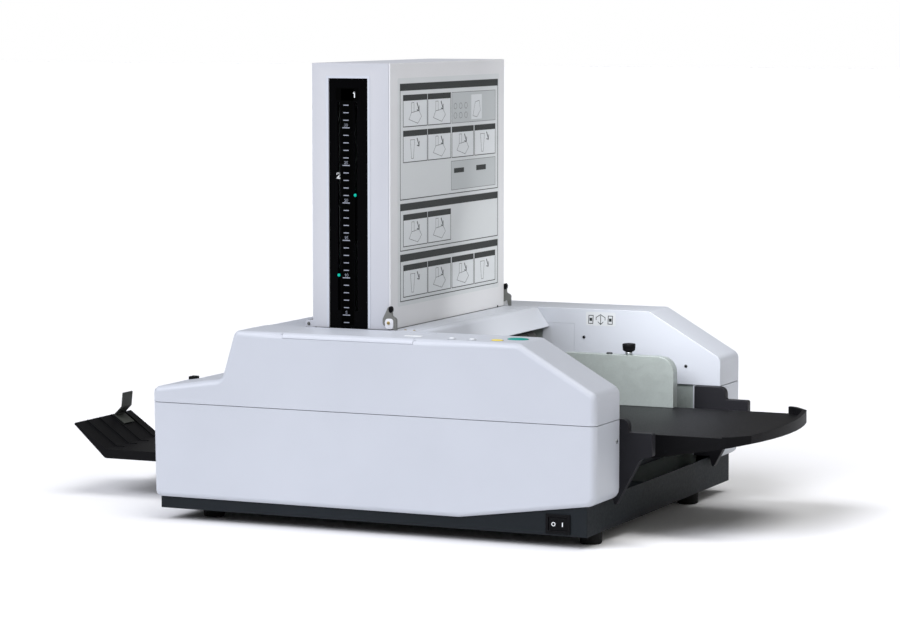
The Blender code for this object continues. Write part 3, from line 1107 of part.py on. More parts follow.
def delivery_tray():
    """The folding tray with its rims, inclined end wall and ribs, on a pin at the base's end."""
    top, bend, tip = -TRAY_FLOOR, -TRAY_BEND, -TRAY_REACH
    slope = Vector((tip - bend, -TRAY_TOP + TRAY_FLOOR + TRAY_RIM)).normalized()
    outer = [(TRAY_START, top - TRAY_RIM, 0.0), (TRAY_START, top, 0.0),
             (bend + SHEET, top, TRAY_BEND_ROUND), (tip + SHEET, -TRAY_TOP + SHEET, 0.0),
             (tip, -TRAY_TOP, 0.0), (bend, top - TRAY_RIM, TRAY_BEND_ROUND)]
    inside = [(TRAY_START + OVERRUN, top - TRAY_SKIN, 0.0), (bend + TRAY_SKIN, top - TRAY_SKIN, TRAY_BEND_ROUND),
              (tip - OVERRUN, -TRAY_TOP + SHEET - TRAY_SKIN + OVERRUN * (-slope.y / slope.x) - TRAY_SKIN, 0.0),
              (tip - OVERRUN, top - TRAY_RIM - OVERRUN, 0.0), (TRAY_START + OVERRUN, top - TRAY_RIM - OVERRUN, 0.0)]
    under = prism(inside, Y_AXIS, TRAY_FRONT + TRAY_SKIN, TRAY_REAR - TRAY_SKIN)
    hand_gap = block((tip - OVERRUN, TRAY_FRONT + TRAY_WALL_WIDTH, top - TRAY_RIM - OVERRUN),
                     (bend, TRAY_REAR + OVERRUN, TOP_HEIGHT))
    ribs = []
    for near in RIB_SPOTS:
        rib = bent_sheet([(bend + SHEET + TRAY_RIM, top - SOFT_EDGE, 0.0), (bend + SHEET, top - SOFT_EDGE, 0.0),
                          (tip + SHEET + SOFT_EDGE, -TRAY_TOP + SOFT_EDGE, 0.0)][::-1], RIB_HEIGHT)
        ribs.append(prism(rib, Y_AXIS, near, near + RIB_WIDTH))
    barrel = rod(Y_AXIS, TRAY_PIN, TRAY_HINGE, TRAY_FRONT, TRAY_REAR, 16)
    pin = rod(Y_AXIS, TRAY_PIN, TRAY_PIN_RADIUS, TRAY_FRONT - TRAY_EAR - FIT, TRAY_REAR + TRAY_EAR + FIT, 12)
    piece("delivery_tray", BLACK_PLASTIC, prism(outer, Y_AXIS, TRAY_FRONT, TRAY_REAR),
          cut(under, hand_gap) + join(*ribs, barrel, pin), pivot=(TRAY_PIN[0], MID_DEPTH, TRAY_PIN[1]))


def tray_stopper():
    """The grey bent paddle that stops the folded sheets on the tray's end wall."""
    foot = Vector((-TRAY_BEND + SHEET, -TRAY_FLOOR))
    crest = Vector((-TRAY_REACH + SHEET, -TRAY_TOP + SHEET))
    slope = (crest - foot).normalized()
    away = Vector((-slope.y, slope.x)) * -FIT
    start = crest - slope * PADDLE_FOOT + away
    knee = crest - slope * SHEET + away
    shoulder = knee + Vector((PADDLE_LEAN, PADDLE_LEAN))
    path = [(*start, 0.0), (*knee, 0.0), (*shoulder, 0.0), (shoulder.x + SHEET, shoulder.y + PADDLE_RISE, 0.0)]
    corners = bent_sheet(path[::-1], PADDLE_THICK)
    middle = (RIB_SPOTS[2] + RIB_WIDTH + RIB_SPOTS[3]) / 2
    piece("tray_stopper", GREY_PLASTIC,
          prism(corners, Y_AXIS, middle - STOPPER_WIDTH / 2, middle + STOPPER_WIDTH / 2),
          pivot=(start.x, middle, start.y))


def main():
    """Builds the machine, one sub-assembly after another."""
    side_covers()
    panel_lid()
    controls()
    base_and_feet()
    power_switch()
    frame_plates()
    fold_rollers()
    drive()
    tower()
    fold_station(1, (roller_x(0) + roller_x(1)) / 2, SLOT_1, READING_1)
    fold_station(2, (roller_x(2) + roller_x(3)) / 2, SLOT_2, READING_2)
    latches()
    hinge_beam()
    bridge_and_hood()
    feed_unit()
    feed_table()
    feed_brackets()
    side_guides()
    delivery_cover()
    delivery_drive()
    delivery_tray()
    tray_stopper()


main()
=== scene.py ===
"""Looks of a desk paper folding machine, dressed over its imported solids.

Places are written in machine millimetres, as on the part's own drawing: X grows from the delivery end
to the feed end, Y from the operator's side to the rear, and Z up from the seam between the covers.
"""
import json
import logging
import math
from collections.abc import Sequence
from dataclasses import dataclass, field
from enum import Enum

import bmesh
import bpy
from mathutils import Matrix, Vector


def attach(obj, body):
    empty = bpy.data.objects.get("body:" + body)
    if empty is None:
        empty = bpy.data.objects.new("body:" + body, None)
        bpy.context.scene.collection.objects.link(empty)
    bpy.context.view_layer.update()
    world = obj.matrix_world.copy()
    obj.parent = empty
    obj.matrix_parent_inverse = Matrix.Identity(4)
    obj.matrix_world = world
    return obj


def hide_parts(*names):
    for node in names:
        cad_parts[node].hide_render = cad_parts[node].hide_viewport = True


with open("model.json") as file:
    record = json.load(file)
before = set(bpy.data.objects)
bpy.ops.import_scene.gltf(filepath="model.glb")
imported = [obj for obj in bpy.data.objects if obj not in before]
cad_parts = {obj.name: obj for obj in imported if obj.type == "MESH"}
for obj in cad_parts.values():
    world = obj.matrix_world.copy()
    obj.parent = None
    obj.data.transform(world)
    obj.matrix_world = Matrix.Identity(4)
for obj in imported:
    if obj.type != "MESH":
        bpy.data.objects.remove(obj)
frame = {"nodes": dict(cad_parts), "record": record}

LOG = logging.getLogger("paper_folder")
MM = 0.001
MICRON = 1e-6
ORIGIN = Vector((-295.0, -280.0, 160.0))
NODE_BODY = {node: body for body, nodes in frame["record"]["behaviour"]["bodies"].items() for node in nodes}
Point = tuple[float, float]
Outline = Sequence[Point]
Spot = tuple[float, float, float]
Box = tuple[Point, Point]


def place(x: float, y: float, z: float) -> Vector:
    """Turns a machine place into the frame's metres.

    Args:
        x, y, z: the place in machine millimetres.
    Returns:
        The place in metres.
    """
    return (Vector((x, y, z)) + ORIGIN) * MM


def linear(colour: str) -> tuple[float, float, float, float]:
    """Turns an sRGB hex colour to linear light.

    Args:
        colour: six hex digits after a hash sign.
    Returns:
        Linear red, green, blue and an alpha of 1.
    """
    parts = [int(colour[i:i + 2], 16) / 255 for i in (1, 3, 5)]
    return (*[c / 12.92 if c <= 0.04045 else ((c + 0.055) / 1.055) ** 2.4 for c in parts], 1.0)


def per_metre(size_mm: float) -> float:
    """Gives the texture scale at which one cell is size_mm wide."""
    return 1.0 / (size_mm * MM)


def set_inputs(node: bpy.types.Node, inputs: dict) -> None:
    """Sets or links a node's inputs.

    Args:
        node: the node.
        inputs: a value, or a socket to link from, by input name or number.
    """
    for key, value in inputs.items():
        if isinstance(value, bpy.types.NodeSocket):
            node.id_data.links.new(value, node.inputs[key])
        else:
            node.inputs[key].default_value = value


def add_node(tree: bpy.types.NodeTree, kind: str, inputs: dict | None = None, **settings) -> bpy.types.Node:
    """Adds a shader node with its settings and links.

    Args:
        tree: the material's node tree.
        kind: the node's type name.
        inputs: what set_inputs takes.
        settings: properties of the node.
    Returns:
        The new node.
    """
    node = tree.nodes.new(kind)
    for key, value in settings.items():
        setattr(node, key, value)
    set_inputs(node, inputs or {})
    return node


MIDDLE = {"From Min": 0.3, "From Max": 0.7}  # where most of a noise lies


@dataclass(frozen=True)
class Finish:
    """A finish that starts from one principled shader, in the object's own coordinates."""

    name: str
    colour: str
    roughness: float = 0.5

    def start(self) -> tuple[bpy.types.Material, bpy.types.NodeTree, bpy.types.Node, bpy.types.NodeSocket]:
        """Makes the empty material.

        Returns:
            The material, its tree, its shader and the object coordinates' socket.
        """
        material = bpy.data.materials.new(self.name)
        material.use_nodes = True
        tree = material.node_tree
        shader = next(n for n in tree.nodes if n.type == "BSDF_PRINCIPLED")
        shader.inputs["Roughness"].default_value = self.roughness
        material.diffuse_color = linear(self.colour)
        return material, tree, shader, add_node(tree, "ShaderNodeTexCoord").outputs["Object"]

    def surface(self, tree: bpy.types.NodeTree, tone: bpy.types.NodeSocket, shade: str,
                gloss: bpy.types.NodeSocket, spread: tuple[float, float]) -> dict:
        """Lets one pattern drift the colour and another break up the gloss.

        Args:
            tree: the material's node tree.
            tone: the pattern that drifts from the finish's colour to the shade.
            shade: the second colour.
            gloss: the pattern whose middle part moves the roughness.
            spread: how far the roughness goes below and above the finish's own.
        Returns:
            The sockets for the shader's base colour and roughness, by input name.
        """
        colour = add_node(tree, "ShaderNodeMix", {0: tone, 6: linear(self.colour), 7: linear(shade)},
                          data_type="RGBA").outputs[2]
        rough = add_node(tree, "ShaderNodeMapRange", {
            "Value": gloss, **MIDDLE, "To Min": self.roughness + spread[0], "To Max": self.roughness + spread[1]})
        return {"Base Color": colour, "Roughness": rough.outputs["Result"]}


@dataclass(frozen=True)
class MouldedABS(Finish):
    """Injection-moulded ABS from a spark-eroded mould: a fine even grain that breaks up highlights,
    a soft sheen, and a slight drift of shade where the melt flowed."""

    shade: str = "#C4C8D2"
    grain_mm: float = 0.9
    grain_um: float = 18.0
    flow_mm: float = 140.0
    gloss: float = 0.5

    def build(self) -> bpy.types.Material:
        """Builds the material.

        Returns:
            The material.
        """
        material, tree, shader, where = self.start()
        flow = add_node(tree, "ShaderNodeTexNoise", {
            "Vector": where, "Scale": per_metre(self.flow_mm), "Detail": 3.0}).outputs["Fac"]
        drift = add_node(tree, "ShaderNodeMapRange", {"Value": flow, **MIDDLE}).outputs["Result"]
        grain = add_node(tree, "ShaderNodeTexNoise", {
            "Vector": where, "Scale": per_metre(self.grain_mm), "Detail": 2.0}).outputs["Fac"]
        skin = add_node(tree, "ShaderNodeBump", {
            "Height": grain, "Strength": 0.5, "Distance": self.grain_um * MICRON}).outputs["Normal"]
        set_inputs(shader, self.surface(tree, drift, self.shade, grain, (-0.05, 0.07)))
        set_inputs(shader, {"Normal": skin, "IOR": 1.53, "Specular IOR Level": self.gloss})
        return material


@dataclass(frozen=True)
class PowderCoat(Finish):
    """Polyester powder coat baked on sheet steel: a low orange peel about 3 mm wide under a satin
    film, paler on its convex corners: partly wear where hands touch, partly a painted edge highlight."""

    shade: str = "#BFC1C3"
    peel_mm: float = 3.0
    peel_um: float = 22.0
    cloud_mm: float = 110.0
    # paler colour mixed in on convex corners: wear, and a painted edge highlight
    edge_wear_and_highlight: str = "#E4E5E6"
    gloss: float = 0.5

    def build(self) -> bpy.types.Material:
        """Builds the material.

        Returns:
            The material.
        """
        material, tree, shader, where = self.start()
        peel = add_node(tree, "ShaderNodeTexNoise", {
            "Vector": where, "Scale": per_metre(self.peel_mm), "Detail": 1.0}).outputs["Fac"]
        cloud = add_node(tree, "ShaderNodeTexNoise", {
            "Vector": where, "Scale": per_metre(self.cloud_mm), "Detail": 3.0}).outputs["Fac"]
        drift = add_node(tree, "ShaderNodeMapRange", {"Value": cloud, **MIDDLE}).outputs["Result"]
        coat = self.surface(tree, drift, self.shade, peel, (-0.04, 0.06))
        # Pointiness pales the convex corners: wear where hands touch, and a painted edge highlight.
        edge = add_node(tree, "ShaderNodeNewGeometry").outputs["Pointiness"]
        wear_and_highlight_share = add_node(tree, "ShaderNodeMapRange", {
            "Value": edge, "From Min": 0.54, "From Max": 0.62, "To Max": 0.5}).outputs["Result"]
        worn_and_highlit_coat = add_node(tree, "ShaderNodeMix", {0: wear_and_highlight_share, 6: coat["Base Color"], 7: linear(self.edge_wear_and_highlight)},
                          data_type="RGBA").outputs[2]
        skin = add_node(tree, "ShaderNodeBump", {
            "Height": peel, "Strength": 0.35, "Distance": self.peel_um * MICRON}).outputs["Normal"]
        set_inputs(shader, {"Base Color": worn_and_highlit_coat, "Roughness": coat["Roughness"], "Normal": skin, "IOR": 1.5,
                            "Specular IOR Level": self.gloss})
        return material


@dataclass(frozen=True)
class ZincCoat(Finish):
    """Hot-dip galvanised sheet: interlocked zinc crystals about 7 mm across, each with its own shade
    and gloss, and a faint rolling grain along the sheet."""

    shade: str = "#8E9A96"
    spangle_mm: float = 7.0
    roll_mm: float = 1.5
    roll_um: float = 8.0

    def build(self) -> bpy.types.Material:
        """Builds the material.

        Returns:
            The material.
        """
        material, tree, shader, where = self.start()
        crystals = add_node(tree, "ShaderNodeTexVoronoi", {"Vector": where, "Scale": per_metre(self.spangle_mm)},
                            feature="F1").outputs["Color"]
        tone = add_node(tree, "ShaderNodeSeparateColor", {"Color": crystals}).outputs["Red"]
        roll = add_node(tree, "ShaderNodeTexNoise", {
            "Vector": where, "Scale": per_metre(self.roll_mm), "Detail": 2.0}).outputs["Fac"]
        skin = add_node(tree, "ShaderNodeBump", {
            "Height": roll, "Strength": 0.3, "Distance": self.roll_um * MICRON}).outputs["Normal"]
        set_inputs(shader, self.surface(tree, tone, self.shade, tone, (-0.03, 0.04)))
        set_inputs(shader, {"Normal": skin, "Metallic": 0.6})
        return material


class Axis(Enum):
    """The direction along which a bar or wheel was turned or ground."""

    X = (1.0, 0.0, 0.0)
    Y = (0.0, 1.0, 0.0)
    Z = (0.0, 0.0, 1.0)


@dataclass(frozen=True)
class GroundSteel(Finish):
    """Centreless-ground bright steel: fine rings about 0.6 mm apart round the bar, drawn coarser than
    the real ones so that they show, which stretch each highlight along it."""

    shade: str = "#8F9396"
    axis: Axis = Axis.Y
    ring_mm: float = 0.6
    ring_um: float = 4.0

    def build(self) -> bpy.types.Material:
        """Builds the material.

        Returns:
            The material.
        """
        material, tree, shader, where = self.start()
        squeeze = [1.0 if part else 0.04 for part in self.axis.value]
        along = add_node(tree, "ShaderNodeVectorMath", {0: where, 1: squeeze}, operation="MULTIPLY").outputs[0]
        rings = add_node(tree, "ShaderNodeTexNoise", {
            "Vector": along, "Scale": per_metre(self.ring_mm), "Detail": 1.0}).outputs["Fac"]
        skin = add_node(tree, "ShaderNodeBump", {
            "Height": rings, "Strength": 0.3, "Distance": self.ring_um * MICRON}).outputs["Normal"]
        set_inputs(shader, self.surface(tree, rings, self.shade, rings, (-0.06, 0.08)))
        set_inputs(shader, {"Normal": skin, "Metallic": 1.0})
        return material


@dataclass(frozen=True)
class GroundRubber(Finish):
    """Nitrile rubber ground to size on a steel shaft: matt, slightly dusty with paper fibre, with the
    fine lay of the grinding wheel, and bright steel where the shaft or gear stands bare."""

    steel: str = "#A9ADB0"
    dust: str = "#4A4A48"
    axis_x: float = 0.0
    axis_z: float = 0.0
    core_mm: float = 6.0
    start_y: float = 84.0
    end_y: float = 476.0
    fibre_mm: float = 14.0
    lay_mm: float = 0.8
    lay_um: float = 25.0

    def rubber_share(self, tree: bpy.types.NodeTree, where: bpy.types.NodeSocket) -> bpy.types.NodeSocket:
        """Tells the rubber from the bare steel by the place on the roller.

        Args:
            tree: the material's node tree.
            where: the object coordinates.
        Returns:
            A socket that is 1 on the rubber and 0 on the steel.
        """
        off = add_node(tree, "ShaderNodeVectorMath", {0: where, 1: place(self.axis_x, 0.0, self.axis_z)},
                       operation="SUBTRACT").outputs[0]
        flat = add_node(tree, "ShaderNodeVectorMath", {0: off, 1: (1.0, 0.0, 1.0)}, operation="MULTIPLY").outputs[0]
        radius = add_node(tree, "ShaderNodeVectorMath", {0: flat}, operation="LENGTH").outputs["Value"]
        y = add_node(tree, "ShaderNodeSeparateXYZ", {0: where}).outputs["Y"]
        share = 1.0
        for value, limit, compare in ((radius, self.core_mm * MM, "GREATER_THAN"),
                                      (y, place(0, self.start_y, 0).y, "GREATER_THAN"),
                                      (y, place(0, self.end_y, 0).y, "LESS_THAN")):
            test = add_node(tree, "ShaderNodeMath", {0: value, 1: limit}, operation=compare).outputs[0]
            share = add_node(tree, "ShaderNodeMath", {0: share, 1: test}, operation="MULTIPLY").outputs[0]
        return share

    def build(self) -> bpy.types.Material:
        """Builds the material.

        Returns:
            The material.
        """
        material, tree, shader, where = self.start()
        rubber = self.rubber_share(tree, where)
        fibre = add_node(tree, "ShaderNodeTexNoise", {
            "Vector": where, "Scale": per_metre(self.fibre_mm), "Detail": 4.0}).outputs["Fac"]
        dusting = add_node(tree, "ShaderNodeMapRange", {"Value": fibre, **MIDDLE, "To Max": 0.5}).outputs["Result"]
        matt = add_node(tree, "ShaderNodeMix", {0: dusting, 6: linear(self.colour), 7: linear(self.dust)},
                        data_type="RGBA").outputs[2]
        shown = add_node(tree, "ShaderNodeMix", {0: rubber, 6: linear(self.steel), 7: matt},
                         data_type="RGBA").outputs[2]
        bare = add_node(tree, "ShaderNodeMath", {0: 1.0, 1: rubber}, operation="SUBTRACT").outputs[0]
        rough = add_node(tree, "ShaderNodeMapRange", {
            "Value": rubber, "To Min": 0.3, "To Max": self.roughness}).outputs["Result"]
        lay = add_node(tree, "ShaderNodeTexNoise", {
            "Vector": where, "Scale": per_metre(self.lay_mm), "Detail": 2.0}).outputs["Fac"]
        skin = add_node(tree, "ShaderNodeBump", {
            "Height": lay, "Strength": 0.4, "Distance": self.lay_um * MICRON}).outputs["Normal"]
        set_inputs(shader, {"Base Color": shown, "Metallic": bare, "Roughness": rough, "Normal": skin})
        return material


@dataclass(frozen=True)
class CastAcrylic(Finish):
    """Smoked acrylic sheet, polished: near black, a smooth skin and faint wiping marks."""

    shade: str = "#030304"
    wipe_mm: float = 30.0
    gloss: float = 0.03

    def build(self) -> bpy.types.Material:
        """Builds the material.

        Returns:
            The material.
        """
        material, tree, shader, where = self.start()
        wipe = add_node(tree, "ShaderNodeTexNoise", {
            "Vector": where, "Scale": per_metre(self.wipe_mm), "Detail": 4.0}).outputs["Fac"]
        set_inputs(shader, self.surface(tree, wipe, self.shade, wipe, (0.0, 0.08)))
        set_inputs(shader, {"IOR": 1.49, "Specular IOR Level": self.gloss})
        return material


@dataclass(frozen=True)
class PrintedInk(Finish):
    """Screen-printed ink or a printed film: flat and matt, with the slight unevenness of the squeegee
    pass about 2 mm wide."""

    shade: str = "#000000"
    pass_mm: float = 2.0
    gloss: float = 0.25

    def build(self) -> bpy.types.Material:
        """Builds the material.

        Returns:
            The material.
        """
        material, tree, shader, where = self.start()
        uneven = add_node(tree, "ShaderNodeTexNoise", {
            "Vector": where, "Scale": per_metre(self.pass_mm), "Detail": 3.0}).outputs["Fac"]
        set_inputs(shader, self.surface(tree, uneven, self.shade, uneven, (-0.05, 0.05)))
        set_inputs(shader, {"Specular IOR Level": self.gloss})
        return material


@dataclass(frozen=True)
class Palette:
    """Every finish of the machine, mostly named for what the real surface is; some carry painted shade or a painted
    highlight, as their comments say.
    """

    cover: Finish = MouldedABS("grey_white_moulded_abs", "#BCC0C8", 0.42, shade="#B8BCC4")
    lid: Finish = MouldedABS("pale_moulded_abs", "#BEC2CA", 0.44, shade="#BABEC6")
    tower: Finish = PowderCoat("pale_powder_coated_steel", "#BDBFC5", 0.46, shade="#B9BBC1", edge_wear_and_highlight="#C8C9CC")
    # A paler copy of the tower's powder coat for its side panel, brightened to make up for the weaker light on that
    # side: painted light. The latch cheeks share it.
    tower_side: Finish = PowderCoat("powder_coat_brightened_for_shaded_side", "#DADBDE", 0.46,
                                    shade="#D6D7DA", edge_wear_and_highlight="#DEDFE0")
    base: Finish = PowderCoat("charcoal_powder_coated_steel", "#202428", 0.55,
                              shade="#1C2023", edge_wear_and_highlight="#2A2E32", gloss=0.1)
    black: Finish = MouldedABS("black_moulded_abs", "#0D0D0F", 0.5,
                               shade="#0A0A0C", grain_mm=1.1, grain_um=30.0, gloss=0.08)
    bracket: Finish = MouldedABS("graphite_moulded_abs", "#222226", 0.5,
                                 shade="#1E1E22", grain_mm=1.1, gloss=0.12)
    grey: Finish = MouldedABS("grey_moulded_acetal", "#5A5C5A", 0.45, shade="#515351")
    zinc: Finish = ZincCoat("galvanised_steel_sheet", "#AEB6B3", 0.46, shade="#A6AEAB")
    steel: Finish = GroundSteel("ground_bright_steel", "#C6C9CB", 0.28)
    lever: Finish = GroundSteel("dull_zinc_plated_steel", "#8B8C88", 0.42, shade="#7A7B77")
    upright: Finish = GroundSteel("ground_guide_rod_steel", "#C6C9CB", 0.26, axis=Axis.Z)
    tread: Finish = MouldedABS("black_moulded_rubber", "#101011", 0.8,
                               shade="#141413", grain_mm=1.6, grain_um=40.0, gloss=0.2)
    acrylic: Finish = CastAcrylic("smoked_cast_acrylic", "#020203", 0.14)
    teal: Finish = MouldedABS("teal_moulded_abs", "#009A8E", 0.36,
                              shade="#009388", grain_um=6.0, gloss=0.08)
    yellow: Finish = MouldedABS("yellow_moulded_abs", "#EAD662", 0.36,
                                shade="#E4CF58", grain_um=6.0, gloss=0.15)
    white: Finish = MouldedABS("white_moulded_abs", "#C6CAD0", 0.36, shade="#C2C6CC", grain_um=6.0)
    film: Finish = PrintedInk("matt_polyester_label_film", "#D2D6D8", 0.48, shade="#CED2D4")
    ink: Finish = PrintedInk("dark_screen_ink", "#232827", 0.5, shade="#1F2423")
    pale_ink: Finish = PrintedInk("white_screen_ink", "#F2F4F5", 0.5, shade="#E4E7E9")
    fine_ink: Finish = PrintedInk("fine_line_screen_ink", "#5E6265", 0.5, shade="#585C5F")
    fine_white: Finish = PrintedInk("fine_white_screen_ink", "#9A9EAA", 0.5, shade="#9296A2")
    border: Finish = PrintedInk("pale_window_border_finish", "#C6CAD2", 0.45, shade="#C1C5CD")
    # The pale border round the window: a raised lip a little lighter than the tower.
    panel_white: Finish = PrintedInk("pale_panel_ink", "#D9DDE0", 0.5, shade="#D5D9DC")
    note_grey: Finish = PrintedInk("grey_note_ink", "#BCC1C3", 0.5, shade="#B8BDBF")
    lit_white: Finish = MouldedABS("clear_white_acetal", "#F4F6F8", 0.3, shade="#EEF1F4", grain_um=3.0)
    teal_deep: Finish = MouldedABS("deep_teal_moulded_abs", "#008A80", 0.35, shade="#008278", grain_um=6.0)
    sign_white: Finish = PrintedInk("white_polyester_film", "#C6C9CC", 0.45, shade="#C2C5C8")
    paddle: Finish = MouldedABS("grey_green_moulded_abs", "#3C3F3A", 0.5,
                                shade="#363934", grain_um=24.0, gloss=0.3)
    # Dark rings round the buttons: painted shade in the gaps of their recesses.
    seam: Finish = PrintedInk("shadowed_moulding_gap", "#4C5058", 0.7, shade="#484C54")
    brass: Finish = GroundSteel("yellow_passivated_steel", "#C9B27A", 0.35, shade="#A8935F")
    steel_dark: Finish = GroundSteel("black_oxide_steel", "#4A4C4E", 0.4, shade="#3C3E40")
    marker: Finish = PrintedInk("teal_marker_paint", "#00B89E", 0.4, shade="#00AE96", gloss=0.1)
    # Near-black matt finish: painted shade in screw crosses and vents, and the black field behind the scale.
    painted_shade_and_black_field: Finish = PrintedInk("painted_recess_shade_and_black_field", "#010101", 0.8, shade="#020202", gloss=0.02)


PALETTE = Palette()
MATERIALS: dict[str, bpy.types.Material] = {}


def material_of(finish: Finish) -> bpy.types.Material:
    """Gives the material of a finish, built once.

    Args:
        finish: the finish.
    Returns:
        Its material.
    """
    if finish.name not in MATERIALS:
        MATERIALS[finish.name] = finish.build()
    return MATERIALS[finish.name]


class Side(Enum):
    """A flat side that print, screws and trim lie on, seen as across and up."""

    FRONT = "front"
    REAR = "rear"
    FEED = "feed"
    DELIVERY = "delivery"
    TOP = "top"
    BOTTOM = "bottom"

    def point(self, level: float, across: float, up: float, out: float) -> Vector:
        """Gives the metre place of a spot on this side.

        Args:
            level: where the side lies, in machine millimetres.
            across, up: the spot on the side; X or Y, then Z or Y.
            out: how far the spot stands off the side.
        Returns:
            The place in the frame's metres.
        """
        return {
            Side.FRONT: lambda: place(across, level - out, up),
            Side.REAR: lambda: place(across, level + out, up),
            Side.FEED: lambda: place(level + out, across, up),
            Side.DELIVERY: lambda: place(level - out, across, up),
            Side.TOP: lambda: place(across, up, level + out),
            Side.BOTTOM: lambda: place(across, up, level - out),
        }[self]()


def oblong(low: Point, high: Point, corner: float = 0.0, steps: int = 5) -> Outline:
    """Gives a rectangle's outline, with round corners where corner isn't 0.

    Args:
        low, high: the lowest and highest corner.
        corner: the radius of the corners.
        steps: how many straight steps make one round corner.
    Returns:
        The outline, anticlockwise.
    """
    if not corner:
        return [low, (high[0], low[1]), high, (low[0], high[1])]
    left, right, foot, top = low[0] + corner, high[0] - corner, low[1] + corner, high[1] - corner
    points = []
    for cx, cy, turn in ((right, foot, -90), (right, top, 0), (left, top, 90), (left, foot, 180)):
        for step in range(steps + 1):
            angle = math.radians(turn + 90 * step / steps)
            points.append((cx + corner * math.cos(angle), cy + corner * math.sin(angle)))
    return points


def disc(centre: Point, radius: float, radius_up: float | None = None, sides: int = 40) -> Outline:
    """Gives the outline of a circle, or of an ellipse where radius_up is given.

    Args:
        centre: its centre.
        radius: its radius, or its half width.
        radius_up: the ellipse's half height.
        sides: how many straight sides it has.
    Returns:
        The outline, anticlockwise.
    """
    tall = radius if radius_up is None else radius_up
    return [(centre[0] + radius * math.cos(2 * math.pi * i / sides),
             centre[1] + tall * math.sin(2 * math.pi * i / sides)) for i in range(sides)]


def stroke(path: Outline, width: float, closed: bool = False) -> list[Outline]:
    """Turns a path into short overlapping bars of even width.

    Args:
        path: the corners of the path.
        width: the line's width in millimetres.
        closed: whether the last corner joins the first.
    Returns:
        One outline for each bar.
    """
    bars = []
    ends = [*path, path[0]] if closed else path
    for (x0, y0), (x1, y1) in zip(ends, ends[1:]):
        long = math.hypot(x1 - x0, y1 - y0) or 1.0
        ux, uy = (x1 - x0) / long * width / 2, (y1 - y0) / long * width / 2
        bars.append([(x0 - ux + uy, y0 - uy - ux), (x1 + ux + uy, y1 + uy - ux),
                     (x1 + ux - uy, y1 + uy + ux), (x0 - ux - uy, y0 - uy + ux)])
    return bars


@dataclass
class Maker:
    """Gathers closed shapes into one mesh, then sets it on a body with its finish."""

    name: str
    body: str
    finish: Finish
    slot: str
    work: bmesh.types.BMesh = field(default_factory=bmesh.new)

    def loft(self, rings: list[list[Vector]], capped: bool = True) -> None:
        """Adds the skin through rings of equal length.

        Args:
            rings: the rings, in metres, from one end to the other.
            capped: whether both ends are closed.
        """
        loops = [[self.work.verts.new(point) for point in ring] for ring in rings]
        for low, high in zip(loops, loops[1:]):
            for i in range(len(low)):
                j = (i + 1) % len(low)
                self.work.faces.new((low[i], low[j], high[j], high[i]))
        if capped:
            self.work.faces.new(loops[0][::-1])
            self.work.faces.new(loops[-1])

    def slab(self, side: Side, level: float, outline: Outline, low: float, high: float,
             ease: float = 0.0) -> None:
        """Adds a slab on a side.

        Args:
            side, level: the side and where it lies.
            outline: the slab's outline on the side.
            low, high: the slab's back and face, measured off the side.
            ease: how much the face draws in and drops at its edge.
        """
        middle = (sum(p[0] for p in outline) / len(outline), sum(p[1] for p in outline) / len(outline))

        def ring(out: float, inset: float) -> list[Vector]:
            """Gives one ring of the slab.

            Args:
                out: how far it stands off the side.
                inset: how far it is drawn in towards the middle.
            Returns:
                Its corners in metres.
            """
            points = []
            for u, v in outline:
                long = math.hypot(u - middle[0], v - middle[1]) or 1.0
                share = 1 - inset / long
                points.append(side.point(level, middle[0] + (u - middle[0]) * share,
                                         middle[1] + (v - middle[1]) * share, out))
            return points

        rings = [ring(low, 0.0), ring(high - ease, 0.0)]
        if ease:
            rings += [ring(high - ease * 0.3, ease * 0.3), ring(high, ease)]
        self.loft(rings)

    def frame(self, side: Side, level: float, outer: Outline, inner: Outline, low: float, high: float) -> None:
        """Adds a flat ring between two outlines of equal length.

        Args:
            side, level: the side and where it lies.
            outer, inner: the ring's two outlines on the side.
            low, high: the ring's back and face, measured off the side.
        """
        edges = ((outer, low), (outer, high), (inner, high), (inner, low), (outer, low))
        self.loft([[side.point(level, u, v, out) for u, v in outline] for outline, out in edges], capped=False)

    def lathe(self, axis: Axis, centre: Spot, profile: Outline, sides: int = 32) -> None:
        """Adds a turned shape.

        Args:
            axis: the axis it turns on.
            centre: a place on the axis.
            profile: radius and place along the axis, from one end to the other.
            sides: how many flats make the round.
        """
        rings = []
        for radius, along in profile:
            ring = []
            for i in range(sides):
                angle = 2 * math.pi * i / sides
                u, v = max(radius, 0.01) * math.cos(angle), max(radius, 0.01) * math.sin(angle)
                spot = {Axis.X: (along, u, v), Axis.Y: (u, along, v), Axis.Z: (u, v, along)}[axis]
                ring.append(place(*[c + s for c, s in zip(centre, spot)]))
            rings.append(ring)
        self.loft(rings)

    def done(self, smooth_angle: float = 35.0, edge_mm: float = 0.0) -> bpy.types.Object:
        """Closes the mesh and sets it on its body.

        Args:
            smooth_angle: the turn in degrees above which an edge stays sharp.
            edge_mm: how far edges are eased, or 0.
        Returns:
            The new piece.
        """
        bmesh.ops.recalc_face_normals(self.work, faces=self.work.faces)
        mesh = bpy.data.meshes.new(self.name)
        self.work.to_mesh(mesh)
        self.work.free()
        return set_on_body(self.name, mesh, self.body, self.finish, smooth_angle, edge_mm)


